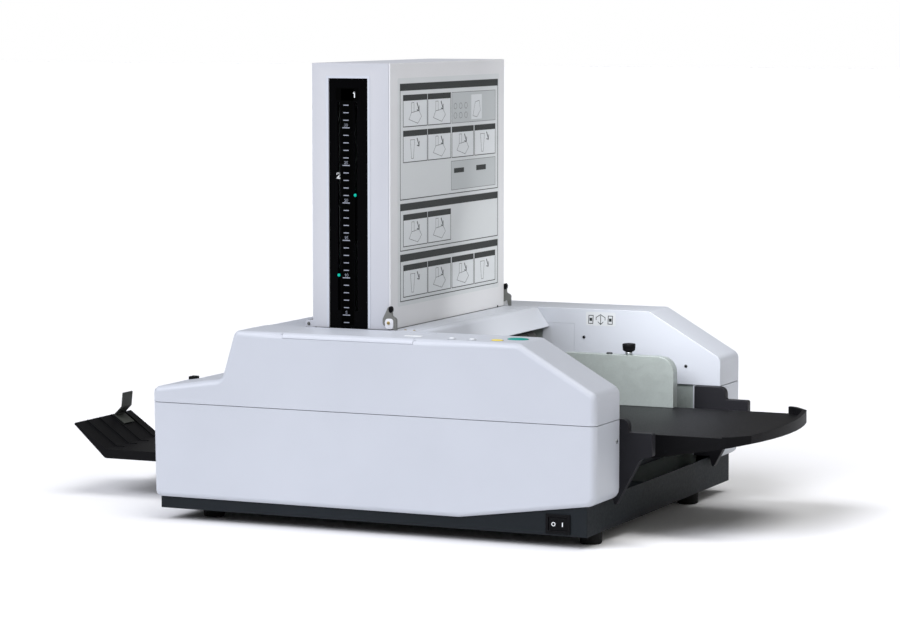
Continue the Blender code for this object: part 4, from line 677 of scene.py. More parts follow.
def set_on_body(name: str, mesh: bpy.types.Mesh, body: str, finish: Finish, smooth_angle: float,
                edge_mm: float) -> bpy.types.Object:
    """Makes a piece from a mesh, shades it, eases its edges and lets it ride on its body.

    Args:
        name: the piece's name.
        mesh: its mesh, in the frame's metres.
        body: the body that it moves with.
        finish: its finish.
        smooth_angle: the turn in degrees above which an edge stays sharp.
        edge_mm: how far edges are eased, or 0.
    Returns:
        The new piece.
    """
    mesh.materials.clear()
    mesh.materials.append(material_of(finish))
    mesh.shade_smooth()
    mesh.set_sharp_from_angle(angle=math.radians(smooth_angle))
    piece = bpy.data.objects.new(name, mesh)
    bpy.context.scene.collection.objects.link(piece)
    if edge_mm:
        bevel = piece.modifiers.new("eased_edges", "BEVEL")
        bevel.width, bevel.segments = edge_mm * MM, 2
        bevel.limit_method, bevel.angle_limit = "ANGLE", math.radians(smooth_angle)
        weighted = piece.modifiers.new("weighted_normals", "WEIGHTED_NORMAL")
        weighted.keep_sharp, weighted.weight = True, 60
    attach(piece, body)
    LOG.info("%s rides on %s, %d faces", name, body, len(mesh.polygons))
    return piece


@dataclass
class Solid:
    """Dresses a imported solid: a copy with smooth rounds and eased edges stands in its place."""

    node: str
    finish: Finish
    edge_mm: float = 0.5

    def build(self) -> bpy.types.Object:
        """Builds the dressed piece.

        Returns:
            The piece that stands in the solid's place.
        """
        source = frame["nodes"][self.node]
        work = bmesh.new()
        work.from_mesh(source.data)
        bmesh.ops.remove_doubles(work, verts=work.verts, dist=2e-6)
        bmesh.ops.dissolve_limit(work, angle_limit=math.radians(0.5), verts=work.verts, edges=work.edges)
        mesh = bpy.data.meshes.new(f"{self.node}_dressed")
        work.to_mesh(mesh)
        work.free()
        piece = set_on_body(f"{self.node}_dressed", mesh, NODE_BODY[self.node], self.finish,
                            32.0, self.edge_mm)
        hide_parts(self.node)
        return piece


def hang_lamp(name: str, kind: str, facing: Vector, settings: dict[str, object]) -> bpy.types.Object:
    """Makes a lamp.

    Args:
        name: the lamp's name.
        kind: Blender's name of the kind of lamp.
        facing: the direction from what it lights back to the lamp.
        settings: properties of the lamp.
    Returns:
        The lamp.
    """
    data = bpy.data.lights.new(name, kind)
    for key, value in settings.items():
        setattr(data, key, value)
    lamp = bpy.data.objects.new(name, data)
    lamp.rotation_euler = facing.to_track_quat("Z", "Y").to_euler()
    bpy.context.scene.collection.objects.link(lamp)
    return lamp


@dataclass(frozen=True)
class Sun:
    """A far light, so that the floor is as bright at the horizon as at the machine: where it comes from,
    its strength in watts a square metre, how wide it is seen in degrees, and its colour."""

    name: str
    source: tuple[float, float, float]
    strength: float
    spread: float
    tint: str = "#FFFFFF"

    def build(self) -> None:
        """Builds the light; a wide one gives soft shadows."""
        hang_lamp(self.name, "SUN", Vector(self.source), {
            "energy": self.strength, "angle": math.radians(self.spread), "color": linear(self.tint)[:3]})


@dataclass(frozen=True)
class PanelLight:
    """A soft square lamp over the feed side, where the covers shade their own inner walls."""

    at: tuple[float, float, float] = (600.0, 190.0, 240.0)
    towards: tuple[float, float, float] = (720.0, 480.0, 100.0)
    size_m: float = 0.25
    watts: float = 1.5

    def build(self) -> None:
        """Builds the lamp at its machine place."""
        lamp = hang_lamp("feed_side_light", "AREA", place(*self.at) - place(*self.towards), {
            "shape": "SQUARE", "size": self.size_m, "energy": self.watts})
        lamp.location = place(*self.at)


@dataclass
class Studio:
    """A pale floor, soft light and the camera at the photograph's place."""

    camera_at: tuple[float, float, float] = (1.8179, -4.0175, 0.69)
    camera_turn: tuple[float, float, float] = (84.460, 0.0, 24.128)
    lens_mm: float = 128.04
    sensor_mm: float = 36.0
    floor_reach: float = 30.0
    world_for_matt: float = 0.2
    world_for_gloss: float = 0.25
    lights: tuple[Sun | PanelLight, ...] = (
        Sun("key_light", (-0.4, -0.75, 0.75), 2.8, 45.0, "#F4F6FF"),
        Sun("fill_light", (0.9, -0.4, 0.5), 0.42, 60.0, "#FFFCF6"),
        Sun("top_light", (0.3, 0.0, 1.0), 1.4, 40.0),
        PanelLight())

    def camera(self) -> None:
        """Sets the camera that was matched to the photograph's edges."""
        data = bpy.data.cameras.new("photo_camera")
        data.lens, data.sensor_width = self.lens_mm, self.sensor_mm
        camera = bpy.data.objects.new("photo_camera", data)
        camera.location = self.camera_at
        camera.rotation_euler = [math.radians(turn) for turn in self.camera_turn]
        bpy.context.scene.collection.objects.link(camera)
        bpy.context.scene.camera = camera

    def floor(self) -> None:
        """Lays the floor, which isn't part of the object."""
        mesh = bpy.data.meshes.new("floor")
        reach = self.floor_reach
        mesh.from_pydata([(-reach, -reach, 0), (reach, -reach, 0), (reach, reach, 0), (-reach, reach, 0)], [],
                         [(0, 1, 2, 3)])
        mesh.materials.append(material_of(PrintedInk("pale_studio_floor", "#F2F2F3", 0.9, "#F1F1F2", 400.0)))
        plane = bpy.data.objects.new("floor", mesh)
        bpy.context.scene.collection.objects.link(plane)

    def backdrop(self) -> None:
        """Makes the world white to the camera and a soft grey light to the machine."""
        world = bpy.data.worlds.new("soft_studio")
        world.use_nodes = True
        bpy.context.scene.world = world
        tree = world.node_tree
        shade = next(n for n in tree.nodes if n.type == "BACKGROUND")
        rays = add_node(tree, "ShaderNodeLightPath").outputs
        dim = add_node(tree, "ShaderNodeMapRange", {
            "Value": rays["Is Glossy Ray"], "To Min": self.world_for_matt, "To Max": self.world_for_gloss,
        }).outputs["Result"]
        strength = add_node(tree, "ShaderNodeMix", {0: rays["Is Camera Ray"], 2: dim, 3: 1.0},
                            data_type="FLOAT").outputs[0]
        set_inputs(shade, {"Color": linear("#FFFFFF"), "Strength": strength})

    def build(self) -> None:
        """Builds the whole studio."""
        bpy.context.scene.view_settings.view_transform = "Standard"
        self.camera()
        self.floor()
        self.backdrop()
        for light in self.lights:
            light.build()


Roller = tuple[str, float, float, float]


@dataclass
class PackedSolids:
    """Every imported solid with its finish, and how far its edges are eased in millimetres."""

    shown: tuple[tuple[str, Finish, float], ...] = (
        ("front_upper_cover", PALETTE.cover, 0.2), ("rear_upper_cover", PALETTE.cover, 0.6),
        ("front_lower_cover", PALETTE.cover, 0.6), ("rear_lower_cover", PALETTE.cover, 0.6),
        ("delivery_cover", PALETTE.cover, 0.5), ("panel_lid", PALETTE.lid, 0.6),
        ("bridge_plate", PALETTE.lid, 0.6), ("feed_hood", PALETTE.lid, 0.5),
        ("tower_shell", PALETTE.tower, 0.7), ("tower_side_panel", PALETTE.tower_side, 0.4),
        ("scale_window", PALETTE.acrylic, 0.3), ("base_pan", PALETTE.base, 0.6),
        ("feed_table", PALETTE.black, 0.7), ("delivery_tray", PALETTE.black, 0.5),
        ("tray_stopper", PALETTE.paddle, 0.4), ("front_feed_bracket", PALETTE.bracket, 0.6),
        ("rear_feed_bracket", PALETTE.bracket, 0.6), ("switch_bezel", PALETTE.black, 0.4),
        ("power_rocker", PALETTE.black, 0.4), ("power_inlet", PALETTE.black, 0.5),
        ("front_side_guide", PALETTE.zinc, 0.3), ("rear_side_guide", PALETTE.zinc, 0.3),
        ("guide_knob", PALETTE.black, 0.4), ("front_latch", PALETTE.lever, 0.3),
        ("rear_latch", PALETTE.lever, 0.3), ("hinge_beam", PALETTE.grey, 0.4),
        ("paper_fence", PALETTE.zinc, 0.3), ("pick_arm", PALETTE.grey, 0.4),
        ("delivery_chute", PALETTE.zinc, 0.3), ("start_button", PALETTE.teal, 0.25),
        ("stop_button", PALETTE.yellow, 0.25), ("white_button_left", PALETTE.white, 0.2),
        ("white_button_right", PALETTE.white, 0.2), ("foot_1", PALETTE.tread, 0.4),
        ("foot_2", PALETTE.tread, 0.4), ("foot_3", PALETTE.tread, 0.4), ("foot_4", PALETTE.tread, 0.4),
        ("stopper_1", PALETTE.black, 0.3), ("stopper_2", PALETTE.black, 0.3),
        ("fold_plate_1", PALETTE.zinc, 0.2), ("fold_plate_2", PALETTE.zinc, 0.2),
        ("front_frame_plate", PALETTE.zinc, 0.3), ("rear_frame_plate", PALETTE.zinc, 0.3),
        # The tie bars take the charcoal base coat, darkened as painted shade: they lie in the shade under the feed
        # table.
        ("tie_bar_1", PALETTE.base, 0.3), ("tie_bar_2", PALETTE.base, 0.3),
        ("drive_motor", PALETTE.base, 0.5), ("drive_belt", PALETTE.tread, 0.2),
        ("lift_shaft", PALETTE.steel, 0.2), ("motor_shaft", PALETTE.steel, 0.2),
        ("guide_rod_1", PALETTE.upright, 0.2), ("guide_rod_2", PALETTE.upright, 0.2),
    )
    rollers: tuple[Roller, ...] = (
        ("feed_roller", 364.0, 52.0, 6.5), ("pick_roller", 408.0, 47.0, 3.5),
        ("delivery_roller_upper", 56.0, -35.7, 5.5), ("delivery_roller_lower", 56.0, -60.3, 5.5))
    fold_count: int = 5
    fold_first: Point = (294.0, 50.0)
    fold_pitch: float = 26.0
    fold_core: float = 5.5
    roller_edge: float = 0.3

    def build(self) -> None:
        """Dresses the plain solids, then the rollers, each by the place and radius of its steel core."""
        for node, finish, edge in self.shown:
            Solid(node, finish, edge).build()
        x, z = self.fold_first
        fold = tuple((f"fold_roller_{i + 1}", x - self.fold_pitch * i, z, self.fold_core)
                     for i in range(self.fold_count))
        for node, x, z, core in self.rollers + fold:
            rubber = GroundRubber(f"ground_rubber_{node}", "#222223", 0.72, axis_x=x, axis_z=z, core_mm=core)
            Solid(node, rubber, self.roller_edge).build()


DIGITS: dict[str, Outline] = {
    "0": [(0.2, 0.0), (0.8, 0.0), (1.0, 0.25), (1.0, 0.75), (0.8, 1.0), (0.2, 1.0), (0.0, 0.75), (0.0, 0.25),
          (0.2, 0.0)],
    "1": [(0.15, 0.8), (0.65, 1.0), (0.65, 0.0)],
    "2": [(0.0, 0.78), (0.2, 1.0), (0.8, 1.0), (1.0, 0.8), (1.0, 0.6), (0.0, 0.0), (1.0, 0.0)],
    "3": [(0.0, 0.85), (0.25, 1.0), (0.8, 1.0), (1.0, 0.8), (0.8, 0.55), (0.4, 0.52), (0.8, 0.5), (1.0, 0.25),
          (0.8, 0.0), (0.25, 0.0), (0.0, 0.15)],
    "5": [(1.0, 1.0), (0.1, 1.0), (0.0, 0.55), (0.7, 0.6), (1.0, 0.42), (1.0, 0.18), (0.75, 0.0), (0.0, 0.05)],
}


@dataclass(frozen=True)
class DigitSize:
    """How tall and wide a digit is, and how wide its strokes are."""

    tall: float
    wide: float
    line: float


@dataclass
class FoldScale:
    """The print on the tower's window: marks in one even pitch, numbered in fives; and a pale raised border round
    it.
    """

    body: str = NODE_BODY["scale_window"]
    slot: str = "window_gloss"
    face: float = 91.3
    ink_back: float = 0.02
    ink_face: float = 0.14
    middle: float = 246.5
    first: float = 108.3
    pitch: float = 10.0
    count: int = 30
    half_mark: float = 0.6
    half_plain: float = 3.9
    half_numbered: float = 5.4
    number_rise: float = 1.9
    small: DigitSize = DigitSize(3.4, 1.9, 0.6)
    heads: tuple[tuple[str, Point, DigitSize], ...] = (("1", (258.8, 409.0), DigitSize(6.7, 2.7, 1.35)),
                                                       ("2", (235.0, 301.2), DigitSize(6.7, 4.3, 1.25)))
    border_level: float = 89.0
    border_outer: Box = ((218.6, 101.6), (282.9, 437.2))
    border_inner: Box = ((222.0, 101.6), (279.5, 434.0))
    dark_fields: tuple[Box, ...] = (((239.2, 105.0), (257.8, 420.0)), ((231.3, 404.5), (265.2, 421.5)))

    def number(self, ink: Maker, digits: str, foot: Point, size: DigitSize) -> None:
        """Draws a plain number.

        Args:
            ink: the maker that takes the strokes.
            digits: the number's digits.
            foot: the middle of its foot.
            size: the digits' size.
        """
        pitch = size.wide + size.line * 1.6
        for order, digit in enumerate(digits):
            left = foot[0] - size.wide / 2 + (order - (len(digits) - 1) / 2) * pitch
            path = [(left + u * size.wide, foot[1] + v * size.tall) for u, v in DIGITS[digit]]
            for bar in stroke(path, size.line):
                ink.slab(Side.FRONT, self.face, bar, self.ink_back, self.ink_face)

    def border(self) -> None:
        """Draws the light border round the window and the darker field behind the scale."""
        edge = Maker("window_border", self.body, PALETTE.border, self.slot)
        edge.frame(Side.FRONT, self.border_level, oblong(*self.border_outer), oblong(*self.border_inner), -0.2, 0.5)
        edge.done(edge_mm=0.15)
        # a matt near-black slab on the window behind the scale
        dark = Maker("scale_field", self.body, PALETTE.painted_shade_and_black_field, self.slot)
        for low, high in self.dark_fields:
            dark.slab(Side.FRONT, self.face, oblong(low, high), 0.0, self.ink_back)
        dark.done()

    def build(self) -> None:
        """Builds the border, the marks and the numbers."""
        self.border()
        marks = Maker("scale_marks", self.body, PALETTE.fine_white, self.slot)
        for step in range(self.count):
            z = self.first + self.pitch * step
            numbered = step % 5 == 1
            half = self.half_numbered if numbered else self.half_plain
            mark = oblong((self.middle - half, z - self.half_mark), (self.middle + half, z + self.half_mark))
            marks.slab(Side.FRONT, self.face, mark, self.ink_back, self.ink_face)
            if numbered:
                self.number(marks, str(step + 4), (self.middle, z + self.number_rise), self.small)
        marks.done()
        heads = Maker("slot_numbers", self.body, PALETTE.pale_ink, self.slot)
        for digit, foot, size in self.heads:
            self.number(heads, digit, foot, size)
        heads.done()


@dataclass
class ReadingDots:
    """The bright dot on each stopper's pointer, which is read against the scale."""

    dots: tuple[tuple[str, float, float], ...] = (("stopper_1", 260.4, 278.9), ("stopper_2", 236.0, 171.6))
    profile: Outline = ((1.8, 91.0), (2.15, 90.6), (2.15, 90.0), (1.5, 89.6), (0.3, 89.4))

    def build(self) -> None:
        """Builds one dot for each stopper."""
        for node, x, z in self.dots:
            dot = Maker(f"{node}_reading_dot", NODE_BODY[node], PALETTE.marker, "black_plastic")
            dot.lathe(Axis.Y, (x, 0.0, z), self.profile)
            dot.done(60.0)


@dataclass
class SideLabel:
    """The instruction film on the tower's side, drawn as bare panels and plain pictograms without words."""

    body: str = NODE_BODY["tower_side_panel"]
    face: float = 312.5
    film: Box = ((112.0, 130.0), (452.0, 434.0))
    film_mm: float = 0.12
    columns: tuple[Point, ...] = ((129.5, 206.0), (208.6, 284.0), (288.4, 362.0), (366.0, 438.5))
    left: float = 119.8
    right: float = 447.3
    sections: tuple[Point, ...] = ((426.0, 272.0), (266.1, 203.8), (198.2, 136.2))
    section_bar: float = 9.0
    rows: tuple[tuple[float, float, int, int], ...] = ((411.4, 369.0, 0, 2), (363.8, 321.5, 0, 4),
                                                     (251.8, 209.0, 0, 2), (184.2, 141.3, 0, 4))
    row_bar: float = 7.4
    note_fields: tuple[Box, ...] = (((288.0, 368.8), (438.5, 411.0)), ((286.0, 276.8), (438.5, 316.5)))
    note_panel: Box = ((354.3, 372.0), (391.0, 406.5))
    tags: tuple[Box, ...] = (((295.4, 299.9), (329.3, 306.4)), ((371.7, 300.2), (405.3, 307.4)))
    base_shape: Outline = ((-20, -8), (8, -14), (20, -5), (12, 3), (-12, 1))
    tower_shape: Outline = ((-12, 1), (-12, 14), (-4, 14), (-4, 1))
    sheet_shape: Outline = ((-12, -13), (-16, 12), (-2, 12), (-6, -13))
    arrow_shaft: Outline = ((6, 13), (12, 4))
    arrow_head: Outline = ((6, 4), (12, 3), (13, 9))
    wheel_places: tuple[Point, ...] = tuple((y, z) for y in (300.0, 318.0, 336.0) for z in (392.0, 379.0))
    hand_shape: Outline = ((360, 377), (368, 396), (382, 398), (386, 384), (374, 375))

    def ink(self, name: str, finish: Finish) -> Maker:
        """Starts a print on the film."""
        return Maker(name, self.body, finish, "painted_steel")

    def patch(self, ink: Maker, low: Point, high: Point, rise: float = 0.22) -> None:
        """Prints a filled rectangle."""
        ink.slab(Side.FEED, self.face, oblong(low, high), self.film_mm - 0.02, rise)

    def line(self, ink: Maker, path: Outline, width: float = 0.7, closed: bool = False) -> None:
        """Prints a line along a path."""
        for bar in stroke(path, width, closed):
            ink.slab(Side.FEED, self.face, bar, self.film_mm, 0.26)

    def panels(self, dark: Maker) -> None:
        """Prints the sections' and panels' head bars and frames, without their words.

        Args:
            dark: the maker that takes the bars and frames.
        """
        for top, foot in self.sections:
            self.line(dark, [(self.left, foot), (self.right, foot), (self.right, top), (self.left, top)], 1.1, True)
            self.patch(dark, (self.left, top - self.section_bar), (self.right, top))
        white = self.ink("label_panels", PALETTE.panel_white)
        for top, foot, start, end in self.rows:
            under = top - self.row_bar
            for near, far in self.columns[start:end]:
                self.patch(white, (near, foot), (far, under), 0.16)
                self.line(dark, [(near, foot), (far, foot), (far, under), (near, under)], 1.0, True)
                self.patch(dark, (near - 0.5, under), (far + 0.5, top))
        white.done()

    def notes(self) -> None:
        """Prints the two grey note fields and the tags in the lower one."""
        grey = self.ink("label_notes", PALETTE.note_grey)
        rim = self.ink("label_note_rims", PALETTE.fine_ink)
        for low, high in self.note_fields:
            self.patch(grey, low, high, 0.16)
            self.line(rim, oblong(low, high), 0.6, True)
        grey.done()
        rim.done()
        pale = self.ink("label_note_panel", PALETTE.panel_white)
        self.patch(pale, *self.note_panel, 0.2)
        pale.done()
        tags = self.ink("label_tags", PALETTE.ink)
        for low, high in self.tags:
            self.patch(tags, low, high)
        tags.done()

    def pictograms(self) -> None:
        """Prints a plain machine outline or sheet with an arrow in each panel, and plain shapes in the note."""
        fine = self.ink("label_pictograms", PALETTE.fine_ink)
        spots = []
        for top, foot, start, end in self.rows:
            spots += [((near + far) / 2, (foot + top - self.row_bar) / 2) for near, far in self.columns[start:end]]
        machine = ((self.base_shape, 0.6, True), (self.tower_shape, 0.6, False))
        sheet = ((self.sheet_shape, 0.6, True),)
        arrow = ((self.arrow_shaft, 2.2, False), (self.arrow_head, 1.4, False))
        for order, (y, z) in enumerate(spots):
            for path, width, closed in (sheet if order % 3 == 2 else machine) + arrow:
                self.line(fine, [(y + across, z + up) for across, up in path], width, closed)
        for centre in self.wheel_places:
            self.line(fine, disc(centre, 5.0, 4.0, 12), 0.5, True)
        self.line(fine, self.hand_shape, 0.6, True)
        fine.done()

    def build(self) -> None:
        """Builds the film, its frames and its pictograms."""
        film = self.ink("label_film", PALETTE.film)
        film.slab(Side.FEED, self.face, oblong(*self.film, 3.0), 0.0, self.film_mm)
        film.done()
        dark = self.ink("label_bars", PALETTE.ink)
        self.panels(dark)
        dark.done()
        self.notes()
        self.pictograms()


@dataclass
class Screw:
    """A pan head with a cross recess; its height, rounding and cross are shares of its radius."""

    name: str
    body: str
    side: Side
    at: Spot
    radius: float = 2.6
    finish: Finish = PALETTE.steel
    slot: str = "bright_steel"
    tall: float = 0.45
    rounding: float = 0.28
    arm: float = 0.5
    half_arm: float = 0.11

    def build(self) -> None:
        """Builds the head and the cross recess in it, drawn as a flat near-black slab of painted shade."""
        level, across, up = self.at
        top = self.radius * self.tall
        head = Maker(self.name, self.body, self.finish, self.slot)
        head.slab(self.side, level, disc((across, up), self.radius, sides=28), 0.0, top,
                  self.radius * self.rounding)
        head.done(30.0)
        # the cross recess is a thin near-black slab: painted shade
        cross = Maker(f"{self.name}_cross", self.body, PALETTE.painted_shade_and_black_field, self.slot)
        arm, half = self.radius * self.arm, self.radius * self.half_arm
        for wide, tall in ((arm, half), (half, arm)):
            bar = oblong((across - wide, up - tall), (across + wide, up + tall))
            cross.slab(self.side, level, bar, top, top + 0.03)
        cross.done()


def screw_row(name: str, body: str, side: Side, level: float, places: Sequence[Point], radius: float,
              finish: Finish = PALETTE.steel, slot: str = "bright_steel") -> None:
    """Builds like screws, numbered from 1.

    Args:
        name: the name that the number follows.
        body: the body that they move with.
        side, level: the side that they stand on and where it lies.
        places: each one's across and up.
        radius: their heads' radius.
        finish: their finish.
        slot: the record's material slot; not used.
    """
    for number, at in enumerate(places, 1):
        Screw(f"{name}_{number}", body, side, (level, *at), radius, finish, slot).build()


@dataclass
class Controls:
    """What the buttons carry: rings of painted shade in the recesses round them, small lit caps and the pale status
    pad.
    """

    body: str = NODE_BODY["front_upper_cover"]
    top: float = 101.0
    button_top: float = 102.2
    recesses: tuple[tuple[Point, float, float], ...] = (((433.0, 19.0), 5.0, 5.0), ((462.0, 18.0), 5.0, 5.0),
                                                        ((494.0, 26.0), 8.0, 6.0), ((513.0, 50.0), 14.0, 11.0))
    ring_inner: float = 0.25
    ring_outer: float = 0.75
    small_buttons: tuple[str, ...] = ("white_button_left", "white_button_right")
    cap_radius: float = 3.0
    dish_outer: Point = (11.0, 8.2)
    dish_inner: Point = (10.2, 7.5)
    pad: Box = ((360.0, 27.0), (384.0, 37.0))

    def build(self) -> None:
        """Builds the rings, the caps, the start button's dished rim and the pad."""
        # the dark rings are painted shade in the gaps round the buttons
        rings = Maker("button_recess_rings", self.body, PALETTE.seam, "cover_plastic")
        for centre, wide, tall in self.recesses:
            outer = disc(centre, wide + self.ring_outer, tall + self.ring_outer)
            inner = disc(centre, wide + self.ring_inner, tall + self.ring_inner)
            rings.frame(Side.TOP, self.top, outer, inner, 0.01, 0.06)
        rings.done()
        for node, (centre, _, _) in zip(self.small_buttons, self.recesses):
            cap = Maker(f"{node}_cap", NODE_BODY[node], PALETTE.lit_white, "white_plastic")
            cap.slab(Side.TOP, self.button_top, disc(centre, self.cap_radius), 0.0, 0.7, 0.35)
            cap.done(50.0)
        start = self.recesses[-1][0]
        dish = Maker("start_button_dish", NODE_BODY["start_button"], PALETTE.teal_deep, "teal_plastic")
        dish.frame(Side.TOP, self.button_top, disc(start, *self.dish_outer), disc(start, *self.dish_inner), 0.0, 0.1)
        dish.done()
        pad = Maker("status_pad", NODE_BODY["panel_lid"], PALETTE.lit_white, "lid_plastic")
        pad.slab(Side.TOP, self.top, oblong(*self.pad, 2.0), 0.0, 0.25, 0.1)
        pad.done()


@dataclass
class Latches:
    """The trim of the two tower latches: the painted cheek, its screw and the grip on the lever's tip."""

    sides: tuple[tuple[str, Side, float, float], ...] = (("front_latch", Side.FRONT, 85.6, -1.0),
                                                         ("rear_latch", Side.REAR, 474.4, 1.0))
    cheek: Box = ((306.4, 102.8), (318.4, 116.6))
    cheek_mm: float = 1.0
    screw_at: Point = (311.4, 110.8)
    grip_at: Point = (314.4, 128.8)
    grip_radii: Point = (2.9, 4.4)
    grip_back: float = -3.1
    grip_face: float = 1.8

    def build(self) -> None:
        """Builds the trim on both sides."""
        for node, side, face, out in self.sides:
            body = NODE_BODY[node]
            # the cheek takes the side panel's coat, brightened as painted light
            cheek = Maker(f"{node}_cheek", body, PALETTE.tower_side, "painted_steel")
            cheek.slab(side, face, oblong(*self.cheek, 4.0), 0.0, self.cheek_mm, 0.4)
            cheek.done()
            Screw(f"{node}_cheek_screw", body, side, (face + out, *self.screw_at), 2.3, PALETTE.brass,
                  "zinc_steel").build()
            grip = Maker(f"{node}_grip", body, PALETTE.black, "black_plastic")
            grip.slab(side, face, disc(self.grip_at, *self.grip_radii, 28), self.grip_back, self.grip_face, 0.9)
            grip.done(40.0)


@dataclass
class CoverTrim:
    """The screws of the covers, bridge plate and tower, and the black pad on the delivery cover's grip."""

    tower_side: float = 312.5
    inner_wall: float = 475.0
    end_face: float = 639.7
    bridge_top: float = 101.0
    pad_level: float = 24.79
    pad: Box = ((7.7, 86.7), (17.3, 101.3))
    side_screw: Point = (448.0, 102.2)
    wall_screws: tuple[Point, ...] = ((435.0, 60.5), (589.0, 26.0))
    end_screws: tuple[Point, ...] = ((75.0, -28.0), (485.0, -28.0))
    bridge_screws: tuple[Point, ...] = ((330.0, 98.0), (343.0, 98.0))

    def build(self) -> None:
        """Builds the screws and the pad."""
        upper, tower = NODE_BODY["front_upper_cover"], NODE_BODY["tower_side_panel"]
        Screw("side_panel_screw", tower, Side.FEED, (self.tower_side, *self.side_screw), 1.7,
              PALETTE.steel_dark).build()
        screw_row("inner_wall_screw", upper, Side.FRONT, self.inner_wall, self.wall_screws, 2.3, PALETTE.steel_dark)
        screw_row("end_face_screw", upper, Side.FEED, self.end_face, self.end_screws, 3.0)
        pad = Maker("ledge_grip_pad", NODE_BODY["delivery_cover"], PALETTE.black, "black_plastic")
        pad.slab(Side.TOP, self.pad_level, oblong(*self.pad, 1.4), -4.6, 0.3, 0.9)
        pad.done()
        screw_row("bridge_screw", upper, Side.TOP, self.bridge_top, self.bridge_screws, 1.8, PALETTE.brass,
                  "zinc_steel")


@dataclass
class FeedSide:
    """The feed side's trim: closed wall by the hood, sheet-size sign, knob cap and guide clip."""

    body: str = NODE_BODY["rear_upper_cover"]
    wall: float = 475.0
    sign: Box = ((438.0, 77.5), (483.0, 97.0))
    sheets_at: Point = (445.5, 475.0)
    sheet: Outline = ((-3.5, 80.5), (3.0, 80.5), (3.5, 92.0), (-3.0, 92.0))
    sheet_field: Box = ((-2.0, 84.0), (2.0, 88.5))
    arrows: tuple[Outline, ...] = (((460.3, 79.5), (460.3, 92.0)), ((456.5, 83.0), (460.3, 79.5), (464.1, 83.0)),
                                   ((453.5, 86.0), (453.5, 89.5), (460.3, 93.5), (467.1, 89.5), (467.1, 86.0)))
    liner_level: float = 477.0
    liner: Box = ((371.4, -4.0), (420.1, 79.1))
    liner_mm: float = 1.9
    knob_axis: Spot = (526.0, 416.0, 0.0)
    knob_cap: Outline = ((4.4, 48.6), (7.4, 52.4), (9.1, 55.4), (9.2, 59.6), (8.6, 60.7), (5.0, 61.2), (0.3, 61.3))
    knob_collar: Outline = ((3.0, 45.4), (4.8, 45.5), (5.0, 46.0), (5.0, 48.6), (4.6, 49.2), (3.0, 49.3))
    clip_level: float = 45.0
    clip_at: Point = (497.0, 416.0)
    clip_radii: Point = (4.5, 3.0)

    def print_sign(self) -> None:
        """Prints the small sign on the inner wall: two sheets and an arrow between them, without words."""
        film = Maker("guide_sign", self.body, PALETTE.sign_white, "cover_plastic")
        film.slab(Side.FRONT, self.wall, oblong(*self.sign, 2.0), 0.0, 0.15)
        film.done()
        shapes = []
        for x in self.sheets_at:
            shapes += stroke([(x + across, up) for across, up in self.sheet], 1.0, True)
            shapes.append(oblong(*[(x + across, up) for across, up in self.sheet_field]))
        for path in self.arrows:
            shapes += stroke(path, 0.9)
        ink = Maker("guide_sign_print", self.body, PALETTE.ink, "cover_plastic")
        for shape in shapes:
            ink.slab(Side.FRONT, self.wall, shape, 0.16, 0.26)
        ink.done()

    def build(self) -> None:
        """Builds all the trim of the feed side."""
        self.print_sign()
        liner = Maker("inner_wall_liner", self.body, PALETTE.cover, "cover_plastic")
        liner.slab(Side.FRONT, self.liner_level, oblong(*self.liner, 1.0), 0.0, self.liner_mm)
        liner.done()
        knob = NODE_BODY["guide_knob"]
        cap = Maker("guide_knob_cap", knob, PALETTE.black, "black_plastic")
        cap.lathe(Axis.Z, self.knob_axis, self.knob_cap, 36)
        cap.done(50.0)
        collar = Maker("guide_knob_collar", knob, PALETTE.steel, "bright_steel")
        collar.lathe(Axis.Z, self.knob_axis, self.knob_collar)
        collar.done(40.0)
        clip = Maker("guide_clip", NODE_BODY["rear_side_guide"], PALETTE.steel_dark, "bright_steel")
        clip.slab(Side.TOP, self.clip_level, disc(self.clip_at, *self.clip_radii, 24), 0.0, 2.4, 1.0)
        clip.done(50.0)


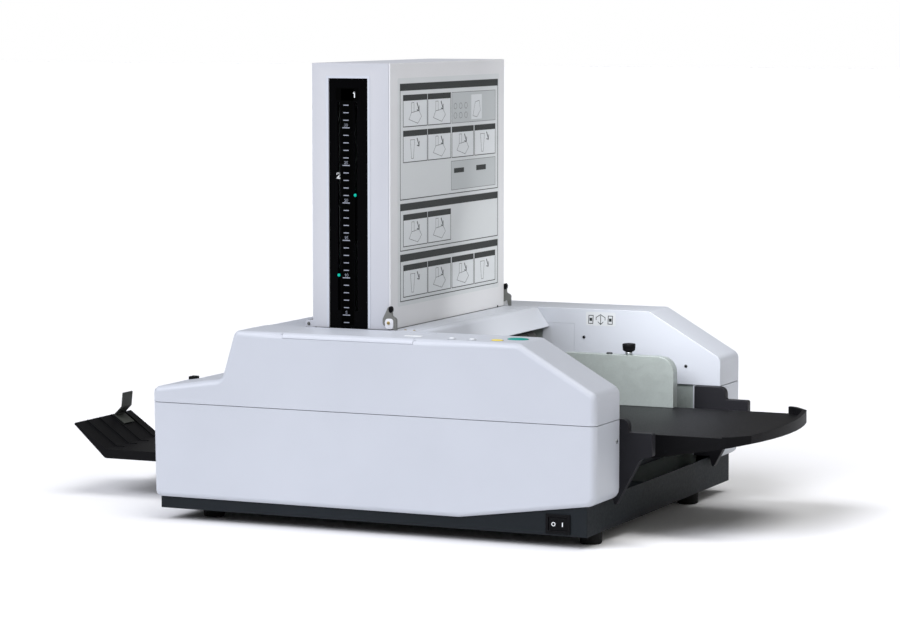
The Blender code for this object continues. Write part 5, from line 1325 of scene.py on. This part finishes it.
@dataclass
class BaseTrim:
    """The base's trim: switch marks, inlet pins, rear vents, a blank plate and the cover screws."""

    body: str = NODE_BODY["base_pan"]
    rocker_face: float = 2.2
    off_ring_at: Point = (582.4, -128.5)
    on_bar: Box = ((594.2, -131.2), (595.4, -125.8))
    inlet_face: float = 12.0
    pins: tuple[Point, ...] = ((438.5, -132.0), (451.5, -132.0), (445.0, -126.0))
    pin_half: Point = (1.0, 2.6)
    rear_face: float = 560.0
    vents: int = 7
    vent_span: Point = (430.0, 520.0)
    vent_half: float = 1.5
    vent_first: float = -38.0
    vent_pitch: float = 7.0
    plate: Box = ((90.0, -88.0), (160.0, -48.0))
    rear_screws: tuple[Point, ...] = ((40.0, -30.0), (600.0, -30.0), (40.0, -95.0), (560.0, -95.0))

    def switch(self) -> None:
        """Prints the off ring and the on bar, the plain marks of a mains switch."""
        marks = Maker("switch_marks", NODE_BODY["power_rocker"], PALETTE.pale_ink, "black_plastic")
        outer, inner = disc(self.off_ring_at, 2.7), disc(self.off_ring_at, 1.8)
        marks.frame(Side.FRONT, self.rocker_face, outer, inner, 0.0, 0.12)
        marks.slab(Side.FRONT, self.rocker_face, oblong(*self.on_bar), 0.0, 0.12)
        marks.done()

    def inlet(self) -> None:
        """Builds the three flat pins of the inlet."""
        pins = Maker("inlet_pins", self.body, PALETTE.brass, "zinc_steel")
        wide, tall = self.pin_half
        for y, z in self.pins:
            pin = oblong((y - wide, z - tall), (y + wide, z + tall))
            pins.slab(Side.DELIVERY, self.inlet_face, pin, -1.0, 3.2, 0.4)
        pins.done()

    def rear(self) -> None:
        """Builds the vents, drawn as flat near-black slabs of painted shade, the blank plate and the screws of the
        rear.
        """
        cover = NODE_BODY["rear_lower_cover"]
        # each vent is a thin near-black slab: painted shade in place of an opening
        vents = Maker("rear_vents", cover, PALETTE.painted_shade_and_black_field, "cover_plastic")
        for row in range(self.vents):
            z = self.vent_first - self.vent_pitch * row
            vent = oblong((self.vent_span[0], z - self.vent_half), (self.vent_span[1], z + self.vent_half), 1.4)
            vents.slab(Side.REAR, self.rear_face, vent, 0.0, 0.06)
        vents.done()
        plate = Maker("blank_rating_plate", cover, PALETTE.film, "cover_plastic")
        plate.slab(Side.REAR, self.rear_face, oblong(*self.plate, 2.5), 0.0, 0.3, 0.1)
        plate.done()
        screw_row("rear_cover_screw", cover, Side.REAR, self.rear_face, self.rear_screws, 3.2)

    def build(self) -> None:
        """Builds all the trim of the base and the rear."""
        self.switch()
        self.inlet()
        self.rear()


def main() -> None:
    """Builds the studio and the machine's sub-assemblies in order."""
    logging.basicConfig(level=logging.INFO, format="%(message)s")
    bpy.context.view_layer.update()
    Studio().build()
    for part in (PackedSolids(), FoldScale(), ReadingDots(), SideLabel(), Controls(), Latches(), CoverTrim(),
                 FeedSide(), BaseTrim()):
        part.build()


if __name__ == "__main__":
    main()
